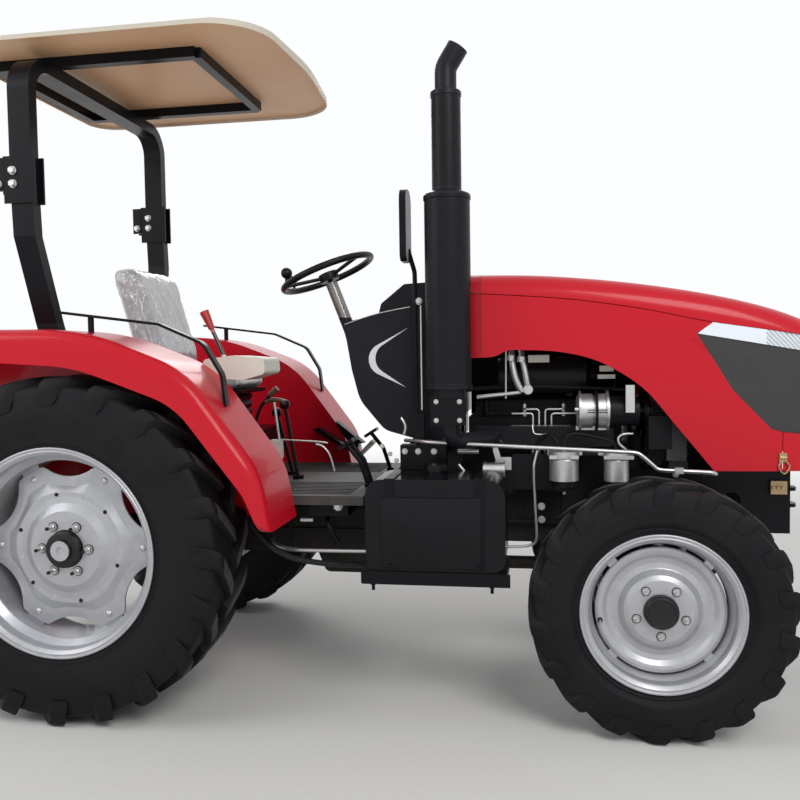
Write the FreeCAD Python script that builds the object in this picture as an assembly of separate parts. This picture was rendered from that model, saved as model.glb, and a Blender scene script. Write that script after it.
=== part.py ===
import FreeCAD, Part
import math
import os

# Four-wheel-drive farm tractor of about 50 hp with an open platform, a roll bar and a sunshade.
# Millimetres, +X forward, +Y to the driver's left, +Z up. While it is modelled, X is 0 at the
# rear axle and Z is 0 on the ground; at the end the whole part is centred on its length.

# Wheels: radius over the lugs, section width, rim flange radius, rim width, lugs on each side
wheelbase = 2110
rear_tyre_radius = 635
rear_tyre_width = 315
rear_rim_radius = 381
rear_rim_width = 302
rear_lug_depth = 34
rear_lugs = 20
rear_half_track = 680
rear_hub_face = 748
front_tyre_radius = 445
front_tyre_width = 211
front_rim_radius = 272
front_rim_width = 192
front_lug_depth = 24
front_lugs = 18
front_half_track = 588
front_hub_face = 640
fit_gap = 0.3
shaft_gap = 0.06

# Axles, transmission and engine
kingpin_y = 440
kingpin_radius = 16
steering_arm = 185
ball_radius = 8
tow_hole = 13
trunnion_half = 150
trunnion_radius = 34
rear_axle_half = 560
trumpet_radius = 66
gearbox_half = 135
gearbox_low = 500
lift_top = 985
engine_rear = wheelbase - 710
engine_length = 650
engine_front = engine_rear + engine_length
engine_half = 150
crankcase_low = 640
head_low = 945
head_top = 1070
rocker_top = 1150
crankshaft_z = 690
fan_z = 1050
radiator_x = wheelbase + 90

# Body
hood_rear = engine_rear + 40
hood_length = 1428
hood_front = hood_rear + hood_length
hood_half = 350
hood_base = 884
panel = 4
fender_inner = 500
fender_outer = 830
fender_base = 722
fender_edge = 45
fender_sheet = 4
platform_top = 800
platform_rim = 35
platform_rear = 430
platform_front = engine_rear - 340

# Roll bar and sunshade
post_x = -280
post_y = 557
post_foot_y = 462
tube_x = 90
tube_y = 50
bend_z = 1800
splice_z = bend_z + 185
hoop_height = 515
hoop_top = splice_z + hoop_height
rail = 40
shade_rear = -560
shade_front = 750
shade_half = 612
shade_crown = 20
shade_top = hoop_top + rail + shade_crown
shade_thickness = 32

# Exhaust
exhaust_x = engine_rear - 19
exhaust_y = -450
muffler_radius = 84
stack_radius = 54

# Steering
steering_wheel_x = engine_rear - 588
steering_wheel_z = 1682
steering_wheel_radius = 213
steering_tilt = 21

# Rear linkage
link_pivot_x = -120
link_pivot_z = 430
link_pivot_y = 195
link_eye_x = -925
link_eye_z = 470
link_eye_y = 341
link_eye_bore = 11.2
rockshaft_x = -130
rockshaft_z = 930
lift_arm_end_x = -440
lift_arm_end_z = 890
rod_eye_share = 0.42
top_pivot_x = -275
top_pivot_z = 805
top_eye_x = -860
top_eye_z = 905
top_pin_bore = 9.8

parts = {}


def V(x, y, z):
    return FreeCAD.Vector(x, y, z)


def box(x0, x1, y0, y1, z0, z1):
    return Part.makeBox(x1 - x0, y1 - y0, z1 - z0, V(x0, y0, z0))


def rod(x, y, z, direction, radius, length):
    return Part.makeCylinder(radius, length, V(x, y, z), direction)


def mirrored(shape):
    return shape.mirror(V(0, 0, 0), V(0, 1, 0))


def fuse(*shapes):
    return shapes[0].multiFuse(list(shapes[1:])).removeSplitter()


def path(corners, closed):
    """Wire through (point, radius) corners, with straight runs and tangent arcs."""
    count = len(corners)
    spans = []
    for i, (point, radius) in enumerate(corners):
        at_end = not closed and i in (0, count - 1)
        if radius == 0 or at_end:
            spans.append((point, None, point))
            continue
        back = (corners[i - 1][0] - point).normalize()
        ahead = (corners[(i + 1) % count][0] - point).normalize()
        half_angle = back.getAngle(ahead) / 2
        reach = radius / math.tan(half_angle)
        middle = (back + ahead).normalize()
        crown = point + middle * (radius / math.sin(half_angle) - radius)
        spans.append((point + back * reach, crown, point + ahead * reach))
    edges = []
    for i, (start, crown, end) in enumerate(spans):
        if crown is not None:
            edges.append(Part.Arc(start, crown, end).toShape())
        if closed or i < count - 1:
            following = spans[(i + 1) % count][0]
            if (following - end).Length > 0.01:
                edges.append(Part.LineSegment(end, following).toShape())
    return Part.Wire(edges)


def outline(points, plane, level):
    """Closed wire from (u, v) or (u, v, radius) points in the XZ, XY or YZ plane."""
    corners = []
    for u, v, *radius in points:
        place = {"xz": V(u, level, v), "xy": V(u, v, level), "yz": V(level, u, v)}[plane]
        corners.append((place, radius[0] if radius else 0))
    return path(corners, True)


def slab(points, plane, low, high):
    """Outline extruded square to its plane from low to high."""
    normal = {"xz": V(0, 1, 0), "xy": V(0, 0, 1), "yz": V(1, 0, 0)}[plane]
    return Part.Face(outline(points, plane, low)).extrude(normal * (high - low))


def turned(profile, x, z):
    """Closed (y, radius) profile revolved about the line along Y through x, z."""
    points = [V(x, y, z + radius) for y, radius in profile]
    face = Part.Face(Part.makePolygon(points + points[:1]))
    return face.revolve(V(x, 0, z), V(0, 1, 0), 360)


def turned_up(profile, x, y):
    """Closed (radius, z) profile revolved about the vertical through x, y."""
    points = [V(x + radius, y, z) for radius, z in profile]
    face = Part.Face(Part.makePolygon(points + points[:1]))
    return face.revolve(V(x, y, 0), V(0, 0, 1), 360)


def turned_ahead(profile, y, z):
    """Closed (x, radius) profile revolved about the line along X through y, z."""
    points = [V(x, y, z + radius) for x, radius in profile]
    face = Part.Face(Part.makePolygon(points + points[:1]))
    return face.revolve(V(0, y, z), V(1, 0, 0), 360)


def tube(points, radius, bend):
    """Round bar along straight runs joined by arcs of one bend radius."""
    corners = [(V(*point), bend) for point in points]
    route = path(corners, False)
    start = corners[0][0]
    circle = Part.Wire(Part.makeCircle(radius, start, corners[1][0] - start))
    return route.makePipeShell([circle], True, True)


def flat_bar(points, y, width, thick, bend):
    """Flat bar of a width across Y, along (x, z) points."""
    corners = [(V(x, y, z), bend) for x, z in points]
    start = corners[0][0]
    along = (corners[1][0] - start).normalize()
    rise = V(-along.z, 0, along.x) * (thick / 2)
    across = V(0, width / 2, 0)
    section = [start - across - rise, start + across - rise, start + across + rise, start - across + rise]
    wire = Part.makePolygon(section + section[:1])
    return path(corners, False).makePipeShell([wire], True, True)


def around(shape, count, x, z, first=0):
    """Copies of a shape about the line along Y through x, z."""
    copies = []
    for i in range(count):
        copy = shape.copy()
        copy.rotate(V(x, 0, z), V(0, 1, 0), first + 360 * i / count)
        copies.append(copy)
    return copies


def facet(*points):
    return Part.Face(Part.makePolygon(list(points) + [points[0]]))


def closed_solid(faces):
    shell = Part.makeShell(faces)
    shell.sewShape()
    solid = Part.makeSolid(shell)
    if solid.Volume < 0:
        solid.reverse()
    return solid


# Tyres: flat-sided carcass, and on each half of the tread a ring of slanted lugs. The inner end
# of a lug, at the middle of the tread, leads its outer end as the tyre rolls forward.
def tyre(x, z, track, radius, width, flange, rim_width, depth, lugs):
    seat = flange - 22 + fit_gap
    bead = rim_width / 2 - 9
    half = width / 2
    tall = radius - seat
    side = [(bead, seat), (bead, flange + 3), (half, seat + 0.46 * tall), (half - 6, seat + 0.68 * tall),
            (0.86 * half, radius - depth)]
    profile = side + [(-y, r) for y, r in reversed(side)]
    flat = 360 / lugs
    spread = 1 / math.cos(math.radians(flat / 2))

    def at(y, r, degrees):
        turn = math.radians(degrees)
        return V(x + r * math.sin(turn), track + y, z + r * math.cos(turn))

    faces = []
    for k in range(lugs):
        low, high = k * flat, (k + 1) * flat
        for i, (y0, r0) in enumerate(profile):
            y1, r1 = profile[(i + 1) % len(profile)]
            faces.append(facet(at(y0, r0 * spread, low), at(y1, r1 * spread, low),
                               at(y1, r1 * spread, high), at(y0, r0 * spread, high)))
    carcass = closed_solid(faces)

    # Each station of a lug: distance from the middle, turn behind it, top, foot, half lengths in degrees
    foot = radius - depth - 12
    stations = [(0.04 * half, 0, radius, foot, 0.12 * flat, 0.17 * flat),
                (0.5 * half, 0.36 * flat, radius - 1, foot, 0.12 * flat, 0.17 * flat),
                (0.965 * half, 0.74 * flat, radius - 0.45 * depth, radius - 2.1 * depth, 0.14 * flat, 0.19 * flat)]
    bars = []
    for hand in (1, -1):
        for k in range(lugs):
            lead = (k + (0.25 if hand == 1 else 0.75)) * flat
            rings = []
            for y, behind, top, low, top_half, foot_half in stations:
                middle = lead - behind
                rings.append([at(hand * y, low, middle - foot_half), at(hand * y, top, middle - top_half),
                              at(hand * y, top, middle + top_half), at(hand * y, low, middle + foot_half)])
            skin = [facet(*rings[0]), facet(*rings[-1])]
            for near, far in zip(rings, rings[1:]):
                for i in range(4):
                    j = (i + 1) % 4
                    skin.append(facet(near[i], near[j], far[i]))
                    skin.append(facet(near[j], far[j], far[i]))
            bars.append(closed_solid(skin))
    return carcass.multiFuse(bars).removeSplitter()


# Rims: flanges, bead seats and a drop centre, rolled from 6 mm sheet
def rim(x, z, track, flange, width, well):
    half = width / 2
    sheet = 6
    seat = flange - 22
    low = seat - well
    skin = [(-half, flange), (-half + 8, flange), (-half + 8, seat), (-half + 52, seat - 3),
            (-half + 74, low), (half - 74, low), (half - 52, seat - 3), (half - 8, seat),
            (half - 8, flange), (half, flange), (half, seat - sheet), (half - 48, seat - 3 - sheet),
            (half - 70, low - sheet), (-half + 70, low - sheet), (-half + 48, seat - 3 - sheet),
            (-half, seat - sheet)]
    return turned([(track + y, r) for y, r in skin], x, z)


rear_z = rear_tyre_radius
front_z = front_tyre_radius

rear_tyre_l = tyre(0, rear_z, rear_half_track, rear_tyre_radius, rear_tyre_width,
                   rear_rim_radius, rear_rim_width, rear_lug_depth, rear_lugs)
front_tyre_l = tyre(wheelbase, front_z, front_half_track, front_tyre_radius, front_tyre_width,
                    front_rim_radius, front_rim_width, front_lug_depth, front_lugs)

# Rear wheel: lobed dish bolted to six lugs of the rim, black hub with a dust cap
dish_sheet = 9
rear_well = 26
rear_inside = rear_rim_radius - 22 - rear_well - 6
lug_y = rear_half_track + 20
dish = [(rear_hub_face, 66), (rear_hub_face, 150), (rear_hub_face - 22, 176),
        (rear_hub_face - 22, 214), (lug_y + dish_sheet, 268), (lug_y + dish_sheet, 316),
        (lug_y, 316), (lug_y, 264), (rear_hub_face - 22 - dish_sheet, 210),
        (rear_hub_face - 22 - dish_sheet, 172), (rear_hub_face - dish_sheet, 146),
        (rear_hub_face - dish_sheet, 66)]
rear_dish = turned(dish, 0, rear_z)
window = Part.makeCylinder(164, 120, V(0, lug_y - 40, rear_z + 426), V(0, 1, 0))
for cutter in around(window, 6, 0, rear_z):
    rear_dish = rear_dish.cut(cutter)
lug = box(-38, 38, lug_y - 10, lug_y, rear_z + 276, rear_z + rear_inside + 3)
rear_rim = rim(0, rear_z, rear_half_track, rear_rim_radius, rear_rim_width, rear_well)
rear_flange_y = rear_hub_face - dish_sheet
rear_hub = turned([(rear_axle_half - 40, 0), (rear_flange_y + 48, 0), (rear_flange_y + 48, 36),
                   (rear_flange_y + 34, 40), (rear_flange_y + 34, 65.7), (rear_flange_y, 65.7),
                   (rear_flange_y, 118), (rear_flange_y - 16, 118), (rear_flange_y - 22, 60),
                   (rear_axle_half + 8, 46), (rear_axle_half + 8, 38), (rear_axle_half - 40, 38)],
                  0, rear_z)
rear_wheel_l = fuse(rear_rim, rear_dish, rear_hub, *around(lug, 6, 0, rear_z, 30))

# Front wheel: dished disc welded in the rim, hub of the final drive through its bore
front_well = 18
front_inside = front_rim_radius - 22 - front_well - 6
disc = [(front_hub_face, 58), (front_hub_face, 108), (front_hub_face - 30, 150),
        (front_hub_face - 34, 176), (front_hub_face - 16, 200), (front_hub_face - 12, front_inside + 10),
        (front_hub_face - 20, front_inside + 10), (front_hub_face - 24, 204),
        (front_hub_face - 42, 178), (front_hub_face - 38, 146), (front_hub_face - 8, 104),
        (front_hub_face - 8, 58)]
front_disc = turned(disc, wheelbase, front_z)
front_rim = rim(wheelbase, front_z, front_half_track, front_rim_radius, front_rim_width, front_well)
front_flange_y = front_hub_face - 8
spindle_end = kingpin_y + 112
front_hub = turned([(spindle_end - 34, 0), (front_flange_y + 34, 0), (front_flange_y + 34, 52),
                    (front_flange_y + 26, 57.7), (front_flange_y, 57.7), (front_flange_y, 104),
                    (front_flange_y - 14, 104), (front_flange_y - 20, 70), (spindle_end + 8, 62),
                    (spindle_end + 8, 30), (spindle_end - 34, 30)],
                   wheelbase, front_z)
front_wheel_l = fuse(front_rim, front_disc, front_hub)

for name, left in (("rear_tyre", rear_tyre_l), ("rear_wheel", rear_wheel_l),
                   ("front_tyre", front_tyre_l), ("front_wheel", front_wheel_l)):
    parts[name + "_l"] = left
    parts[name + "_r"] = mirrored(left)

# Knuckles: gear case on the kingpin, spindle to the hub and a steering arm to the rear
yoke_low = front_z - 128
yoke_high = front_z + 128
case_radius = 64
arm_thick = 24
arm_z = front_z - 106
rod_x = wheelbase - steering_arm
knuckle_case = rod(wheelbase, kingpin_y, yoke_low + 1, V(0, 0, 1), case_radius, yoke_high - yoke_low - 2)
spindle = turned([(kingpin_y, 0), (spindle_end, 0), (spindle_end, 44), (kingpin_y + 70, 50),
                  (kingpin_y, 56)], wheelbase, front_z)
arm = slab([(wheelbase - 30, kingpin_y - 24), (rod_x - 4, kingpin_y - 18, 10), (rod_x - 22, kingpin_y, 17),
            (rod_x - 4, kingpin_y + 18, 10), (wheelbase - 30, kingpin_y + 24)],
           "xy", arm_z - arm_thick / 2, arm_z + arm_thick / 2)
knuckle_l = fuse(knuckle_case, spindle, arm)
spindle_bore = rod(wheelbase, spindle_end + 1, front_z, V(0, -1, 0), 30 + shaft_gap, 40)
kingpin_bore = rod(wheelbase, kingpin_y, yoke_low - 50, V(0, 0, 1), kingpin_radius + shaft_gap, 400)
ball_bore = rod(rod_x, kingpin_y, arm_z - 40, V(0, 0, 1), ball_radius + shaft_gap, 80)
parts["knuckle_l"] = knuckle_l.cut(spindle_bore).cut(kingpin_bore).cut(ball_bore)
parts["knuckle_r"] = mirrored(parts["knuckle_l"])

# Track rod: bar between two ball ends that stand on the steering arms
rod_end_half = 16
rod_z = arm_z + arm_thick / 2 + fit_gap + rod_end_half
track_ends = []
for side in (-1, 1):
    end_y = side * kingpin_y
    track_ends.append(rod(rod_x, end_y, rod_z - rod_end_half, V(0, 0, 1), 20, 2 * rod_end_half))
    track_ends.append(rod(rod_x, end_y, rod_z - rod_end_half - 30, V(0, 0, 1), ball_radius, 40))
track_bar = rod(rod_x, -kingpin_y, rod_z, V(0, 1, 0), 14, 2 * kingpin_y)
parts["track_rod"] = fuse(track_bar, *track_ends)

# Front axle: centre housing with the differential, tubes and the yokes round the kingpins
beam_end = kingpin_y - 70
web_half = 36
yoke_plate = 34
beam = turned([(-beam_end, 0), (beam_end, 0), (beam_end, 46), (150, 56), (-150, 56), (-beam_end, 46)],
              wheelbase, front_z)
casing = turned([(-95, 0), (95, 0), (95, 70), (60, 98), (-30, 104), (-95, 70)], wheelbase, front_z)
trunnion = rod(wheelbase - trunnion_half, 0, front_z, V(1, 0, 0), trunnion_radius, 2 * trunnion_half)
yokes = []
for side in (-1, 1):
    web = [(side * (beam_end - 18), yoke_low - yoke_plate), (side * (beam_end + 2), yoke_low - yoke_plate),
           (side * (beam_end + 2), yoke_high + yoke_plate), (side * (beam_end - 18), yoke_high + yoke_plate)]
    yokes.append(slab(web, "yz", wheelbase - web_half, wheelbase + web_half))
    for z0, z1 in ((yoke_low - yoke_plate, yoke_low), (yoke_high, yoke_high + yoke_plate)):
        yokes.append(box(wheelbase - web_half, wheelbase + web_half, min(side * (beam_end - 18), side * kingpin_y),
                         max(side * (beam_end - 18), side * kingpin_y), z0, z1))
        yokes.append(rod(wheelbase, side * kingpin_y, z0, V(0, 0, 1), 46, z1 - z0))
        pin_z = z0 if z0 < front_z else z1 - 94
        yokes.append(rod(wheelbase, side * kingpin_y, pin_z, V(0, 0, 1), kingpin_radius, 94))
parts["front_axle"] = fuse(beam, casing, trunnion, *yokes)

# Drive shaft in its tube from the transfer case to the front axle
shaft_rear = engine_rear - 390
shaft_length = wheelbase - trunnion_half - shaft_rear - 2 * fit_gap
parts["drive_shaft"] = rod(shaft_rear + fit_gap, 0, front_z, V(1, 0, 0), 27, shaft_length)

# Front frame: side plates bolted to the engine, cross members, the axle's pivot blocks and tow ears
frame_half = 196
frame_plate = 14
frame_top = hood_base - 18
frame_rear = wheelbase - 155
frame_front = wheelbase + 530
side_plate = [(frame_rear, 600), (wheelbase + 180, 600, 60), (wheelbase + 235, 628, 40), (frame_front, 628),
              (frame_front, frame_top), (wheelbase - 70, frame_top, 40), (frame_rear, 800)]
frame_pieces = []
for side in (-1, 1):
    low = min(side * frame_half, side * (frame_half - frame_plate))
    plate = slab(side_plate, "xz", low, low + frame_plate)
    plate = plate.cut(rod(wheelbase + 320, low - 5, 750, V(0, 1, 0), 32, frame_plate + 10))
    frame_pieces.append(plate)
frame_pieces.append(box(frame_front - 40, frame_front, -frame_half + 2, frame_half - 2, 640, 860))
pivot_block = [(-70, 640), (-70, 396, 50), (70, 396, 50), (70, 640)]
pivot_long = 40
for x0 in (wheelbase - trunnion_half + 1, wheelbase + trunnion_half - pivot_long - 1):
    block = slab(pivot_block, "yz", x0, x0 + pivot_long)
    trunnion_bore = rod(x0 - 5, 0, front_z, V(1, 0, 0), trunnion_radius + shaft_gap, pivot_long + 20)
    frame_pieces.append(block.cut(trunnion_bore))
    frame_pieces.append(box(x0, x0 + pivot_long, -frame_half + 2, frame_half - 2, 600, 640))
tow_x = frame_front + 45
for z0 in (700, 765):
    ear = slab([(frame_front, -50), (tow_x + 27, -30, 25), (tow_x + 27, 30, 25), (frame_front, 50)],
               "xy", z0, z0 + 14)
    frame_pieces.append(ear.cut(rod(tow_x, 0, z0 - 5, V(0, 0, 1), tow_hole, 30)))
parts["front_frame"] = fuse(*frame_pieces)

# Transmission housing: clutch bell, ribbed gear case, shift covers and the transfer case under it
gearbox_top = platform_top - platform_rim - fit_gap
bell_rear = engine_rear - 220
case_front = bell_rear + 110
gear_case = slab([(300, gearbox_low), (case_front, gearbox_low), (case_front, gearbox_top), (300, gearbox_top)],
                 "xz", -gearbox_half, gearbox_half)
bell = slab([(-215, 560, 90), (215, 560, 90), (215, 960, 160), (-215, 960, 160)], "yz", bell_rear, engine_rear)
bell_flange = slab([(-227, 562, 90), (227, 562, 90), (227, 972, 160), (-227, 972, 160)],
                   "yz", bell_rear, bell_rear + 16)
transfer = slab([(shaft_rear - 250, gearbox_low), (shaft_rear - 210, 400, 30), (shaft_rear, 400, 20),
                 (shaft_rear, gearbox_low)], "xz", -70, 70)
gearbox_pieces = [gear_case, bell, bell_flange, transfer]
for rib_z in (590, 680):
    gearbox_pieces.append(box(320, bell_rear, -gearbox_half - 9, gearbox_half + 9, rib_z, rib_z + 12))
for rib_x in (480, 660, 840):
    gearbox_pieces.append(box(rib_x, rib_x + 12, -gearbox_half - 9, gearbox_half + 9, gearbox_low + 20, 750))
for side in (-1, 1):
    gearbox_pieces.append(rod(570, side * gearbox_half, 640, V(0, side, 0), 62, 18))
parts["transmission"] = fuse(*gearbox_pieces)

# Rear axle: centre housing, half-shaft trumpets with their flanges and brake drums
centre = slab([(-230, 450, 60), (300, 450, 20), (300, 850, 20), (-230, 850, 60)], "xz", -165, 165)
half_axle = [(0, 118), (250, 118), (300, 74), (400, trumpet_radius), (rear_axle_half - 50, trumpet_radius),
             (rear_axle_half - 26, 92), (rear_axle_half, 92), (rear_axle_half, 0)]
trumpets = turned([(-y, r) for y, r in reversed(half_axle[1:])] + half_axle[1:], 0, rear_z)
rear_axle = fuse(centre, trumpets)
for side in (-1, 1):
    bore = rod(0, side * (rear_axle_half + 1), rear_z, V(0, -side, 0), 38 + shaft_gap, 60)
    rear_axle = rear_axle.cut(bore)

# Hydraulic lift cover on the rear axle, with the rockshaft's bearings
cover = slab([(-210, 850), (-210, lift_top, 50), (60, lift_top, 40), (230, 900, 40), (230, 850)],
             "xz", -130, 130)
lift_cover = cover.cut(rod(rockshaft_x, -200, rockshaft_z, V(0, 1, 0), 24 + shaft_gap, 400))
valve = slab([(90, 850), (90, 900, 8), (190, 900, 8), (190, 850)], "xz", 130, 160)
link_pin = rod(link_pivot_x, 120, link_pivot_z, V(0, 1, 0), 12, link_pivot_y + 30 - 120)
link_block = slab([(link_pivot_x - 42, 398, 20), (link_pivot_x + 42, 398, 20), (link_pivot_x + 42, 470),
                   (link_pivot_x - 42, 470)], "xz", 100, link_pivot_y - 22)
parts["rear_axle"] = fuse(rear_axle, lift_cover, valve, link_pin, link_block, mirrored(link_pin),
                          mirrored(link_block))

# Engine: ribbed crankcase, flanged sump, head, rocker cover, timing case and water pump
rib_deep = 8
timing_front = engine_front + 48
crankcase = slab([(-engine_half, crankcase_low, 20), (engine_half, crankcase_low, 20), (engine_half, head_low),
                  (-engine_half, head_low)], "yz", engine_rear, engine_front)
sump = slab([(engine_rear + 40, crankcase_low), (engine_rear + 60, 560, 25), (engine_rear + 480, 560, 25),
             (engine_rear + 505, crankcase_low)], "xz", -120, 120)
sump_flange = box(engine_rear + 10, engine_front - 10, -engine_half - rib_deep, engine_half + rib_deep,
                  crankcase_low + 4, crankcase_low + 16)
head = slab([(-130, head_low), (130, head_low), (130, head_top), (-130, head_top)],
            "yz", engine_rear + 25, engine_front - 20)
head_band = slab([(-138, 985), (138, 985), (138, 1000), (-138, 1000)], "yz", engine_rear + 20, engine_front - 15)
rocker = slab([(-75, head_top), (75, head_top), (75, rocker_top, 25), (-75, rocker_top, 25)],
              "yz", engine_rear + 50, engine_front - 50)
rocker_rim = box(engine_rear + 42, engine_front - 42, -84, 84, head_top, head_top + 14)
oil_cap = rod(engine_rear + 480, 30, rocker_top, V(0, 0, 1), 26, 24)
timing = slab([(-160, crankcase_low, 40), (160, crankcase_low, 40), (160, head_top, 90), (-160, head_top, 90)],
              "yz", engine_front, timing_front)
pump_boss = rod(engine_front, 0, fan_z, V(1, 0, 0), 62, timing_front - engine_front)
thermostat = rod(engine_front - 30, 55, head_top, V(0, 0, 1), 30, 34)
engine_pieces = [crankcase, sump, sump_flange, head, head_band, rocker, rocker_rim, oil_cap, timing, pump_boss,
                 thermostat]
for i in range(7):
    rib_x = engine_rear + 60 + 85 * i
    engine_pieces.append(box(rib_x - 5, rib_x + 5, -engine_half - rib_deep, engine_half, crankcase_low + 16, 770))
    if i > 2:
        engine_pieces.append(box(rib_x - 5, rib_x + 5, 0, engine_half + rib_deep, crankcase_low + 16, 700))
pad_half = frame_half - frame_plate - fit_gap
engine_pieces.append(box(frame_rear + 6, engine_front, -pad_half, pad_half, 680, 790))


def pulley(y, z, outer, groove):
    """Pulley on the timing face, as a (x, radius) profile with a belt groove."""
    x0 = timing_front + fit_gap
    return turned_ahead([(x0, 0), (x0, outer), (x0 + 4, outer), (x0 + 6, groove), (x0 + 20, groove),
                         (x0 + 22, outer), (x0 + 26, outer), (x0 + 26, 0)], y, z)


crank_groove = 66
pump_groove = 54
engine_pieces.append(rod(engine_front, 0, crankshaft_z, V(1, 0, 0), 30, 60))
engine_pieces.append(pulley(0, crankshaft_z, 80, crank_groove))
parts["engine"] = fuse(*engine_pieces)

# Exhaust manifold on the right side of the head: log, end flanges and four branches
manifold_y = 240
branch_in = 184
branch_x = [engine_rear + 80 + 160 * i for i in range(4)]
manifold_log = slab([(engine_rear + 52, 960, 12), (engine_rear + 590, 960, 20), (engine_rear + 590, 1040, 20),
                     (engine_rear + 52, 1040, 20)], "xz", -manifold_y, -branch_in)
branches = [slab([(x - 22, 966), (x + 22, 966), (x + 22, 1034), (x - 22, 1034)], "xz",
                 -branch_in - 5, -138 - fit_gap) for x in branch_x]
fittings = [fuse(manifold_log, *branches)]

# Intake manifold on the left side of the head and the air cleaner drum over the rocker cover
intake_log = slab([(engine_rear + 60, 1008, 15), (engine_rear + 590, 1008, 20), (engine_rear + 590, 1060, 20),
                   (engine_rear + 60, 1060, 20)], "xz", 162, 214)
ports = [slab([(x - 20, 1012), (x + 20, 1012), (x + 20, 1052), (x - 20, 1052)], "xz", 130 + fit_gap, 170)
         for x in branch_x]
drum_y = -120
drum_z = 1235
drum_radius = 72
drum_rear = engine_rear + 145
drum_front = engine_rear + 490
drum = turned_ahead([(drum_rear, 0), (drum_rear, 66), (drum_rear + 8, drum_radius),
                     (drum_rear + 60, drum_radius), (drum_rear + 60, drum_radius + 4),
                     (drum_rear + 78, drum_radius + 4), (drum_rear + 78, drum_radius),
                     (drum_front, drum_radius), (drum_front, 50), (drum_front + 20, 26), (drum_front + 20, 0)],
                    drum_y, drum_z)
saddles = [box(x - 12, x + 12, -68, -44, rocker_top + fit_gap, 1205) for x in (drum_rear + 110, drum_front - 60)]
intake_hose = tube([(drum_front + 10, drum_y, drum_z), (drum_front + 68, drum_y, drum_z),
                    (drum_front + 68, 188, drum_z), (drum_front + 68, 188, 1050)], 26, 48)
fittings.append(fuse(drum, intake_hose, intake_log, *saddles, *ports))

# Injection pump with its governor, four delivery pipes and the injectors they end in
pump_y = -166
pump_top = 930
pump_body = slab([(engine_rear + 200, 790, 15), (engine_rear + 430, 790, 15), (engine_rear + 430, pump_top, 15),
                  (engine_rear + 200, pump_top, 15)], "xz", -236, -engine_half - rib_deep - fit_gap)
governor = slab([(engine_rear + 130, 775, 30), (engine_rear + 205, 775, 10), (engine_rear + 205, 920, 10),
                 (engine_rear + 130, 920, 40)], "xz", -252, -engine_half - rib_deep - fit_gap)
pump_pieces = [pump_body, governor]
injector_x = [engine_rear + 95 + 155 * i for i in range(4)]
pipe_rise = [1085, 1102, 1102, 1085]
for i, (end_x, rise) in enumerate(zip(injector_x, pipe_rise)):
    start_x = engine_rear + 284 + 24 * i
    pump_pieces.append(rod(start_x, pump_y, pump_top - 5, V(0, 0, 1), 8, 26))
    pump_pieces.append(tube([(start_x, pump_y, pump_top), (start_x, pump_y, rise), (end_x, pump_y, rise),
                             (end_x, -105, rise)], 4, 12))
    pump_pieces.append(rod(end_x, -105, head_top + fit_gap, V(0, 0, 1), 9, 62))
lever_x = engine_rear + 160
pump_pieces.append(rod(lever_x, -251, 880, V(0, -1, 0), 20, 16))
pump_pieces.append(slab([(lever_x - 12, 880, 8), (lever_x + 12, 880, 8), (lever_x - 14, 968, 8),
                         (lever_x - 34, 962, 8)], "xz", -266, -259))
fittings.append(fuse(*pump_pieces))

# Two fuel filters on a plate in front of the injection pump
filter_y = -302
filter_plate = box(engine_rear + 330, engine_front, -264, -240, 930, 951)
filter_arms = [box(x, x + 14, -246, -engine_half - fit_gap, 934, 944)
               for x in (engine_rear + 436, engine_front - 20)]
filters = []
for x, radius in ((engine_rear + 400, 55), (engine_rear + 594, 46)):
    filters.append(turned_up([(0, 800), (radius - 22, 800), (radius - 8, 816), (radius - 8, 836), (radius, 840),
                              (radius, 918), (radius - 5, 926), (radius + 2, 928), (radius + 2, 951), (0, 951)],
                             x, filter_y))
fittings.append(fuse(filter_plate, *filter_arms, *filters))

# Generator in front on the right side, turned by the fan belt, on a bracket of the timing case
generator_y = -250
generator_z = 1100
generator_groove = 30
ring_end = engine_front - 80
generator = turned_ahead([(engine_front - 200, 0), (engine_front - 200, 54), (engine_front - 192, 66),
                          (engine_front - 142, 66), (engine_front - 142, 59), (engine_front - 126, 59),
                          (engine_front - 126, 66), (ring_end, 66), (ring_end, 57), (engine_front + 30, 57),
                          (engine_front + 34, 18), (timing_front + 5, 18), (timing_front + 5, 0)],
                         generator_y, generator_z)
generator_arm = slab([(-160 - fit_gap, 940), (-160 - fit_gap, 1000), (-240, 1062), (-262, 1062), (-262, 1030)],
                     "yz", engine_front + 6, engine_front + 20)
fittings.append(fuse(generator, generator_arm, pulley(generator_y, generator_z, 42, generator_groove)))

# Starter on the clutch bell and oil filter, both low on the left side
starter = turned_ahead([(engine_rear + fit_gap, 0), (engine_rear + fit_gap, 38), (engine_rear + 60, 38),
                        (engine_rear + 66, 44), (engine_rear + 215, 44), (engine_rear + 222, 36),
                        (engine_rear + 222, 0)], 204, 730)
solenoid = rod(engine_rear + 60, 226, 788, V(1, 0, 0), 26, 120)
fittings.append(fuse(starter, solenoid))
oil_head = box(engine_rear + 275, engine_rear + 335, engine_half + fit_gap, 236, 836, 870)
oil_can = turned_up([(0, 728), (38, 728), (44, 738), (44, 830), (40, 838), (0, 838)], engine_rear + 305, 205)
fittings.append(fuse(oil_head, oil_can))

# Belt round the crankshaft, generator and water pump pulleys, each (y, z, radius), one way round
belt_pulleys = [(0, crankshaft_z, crank_groove + fit_gap), (0, fan_z, pump_groove + fit_gap),
                (generator_y, generator_z, generator_groove + fit_gap)]


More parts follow.
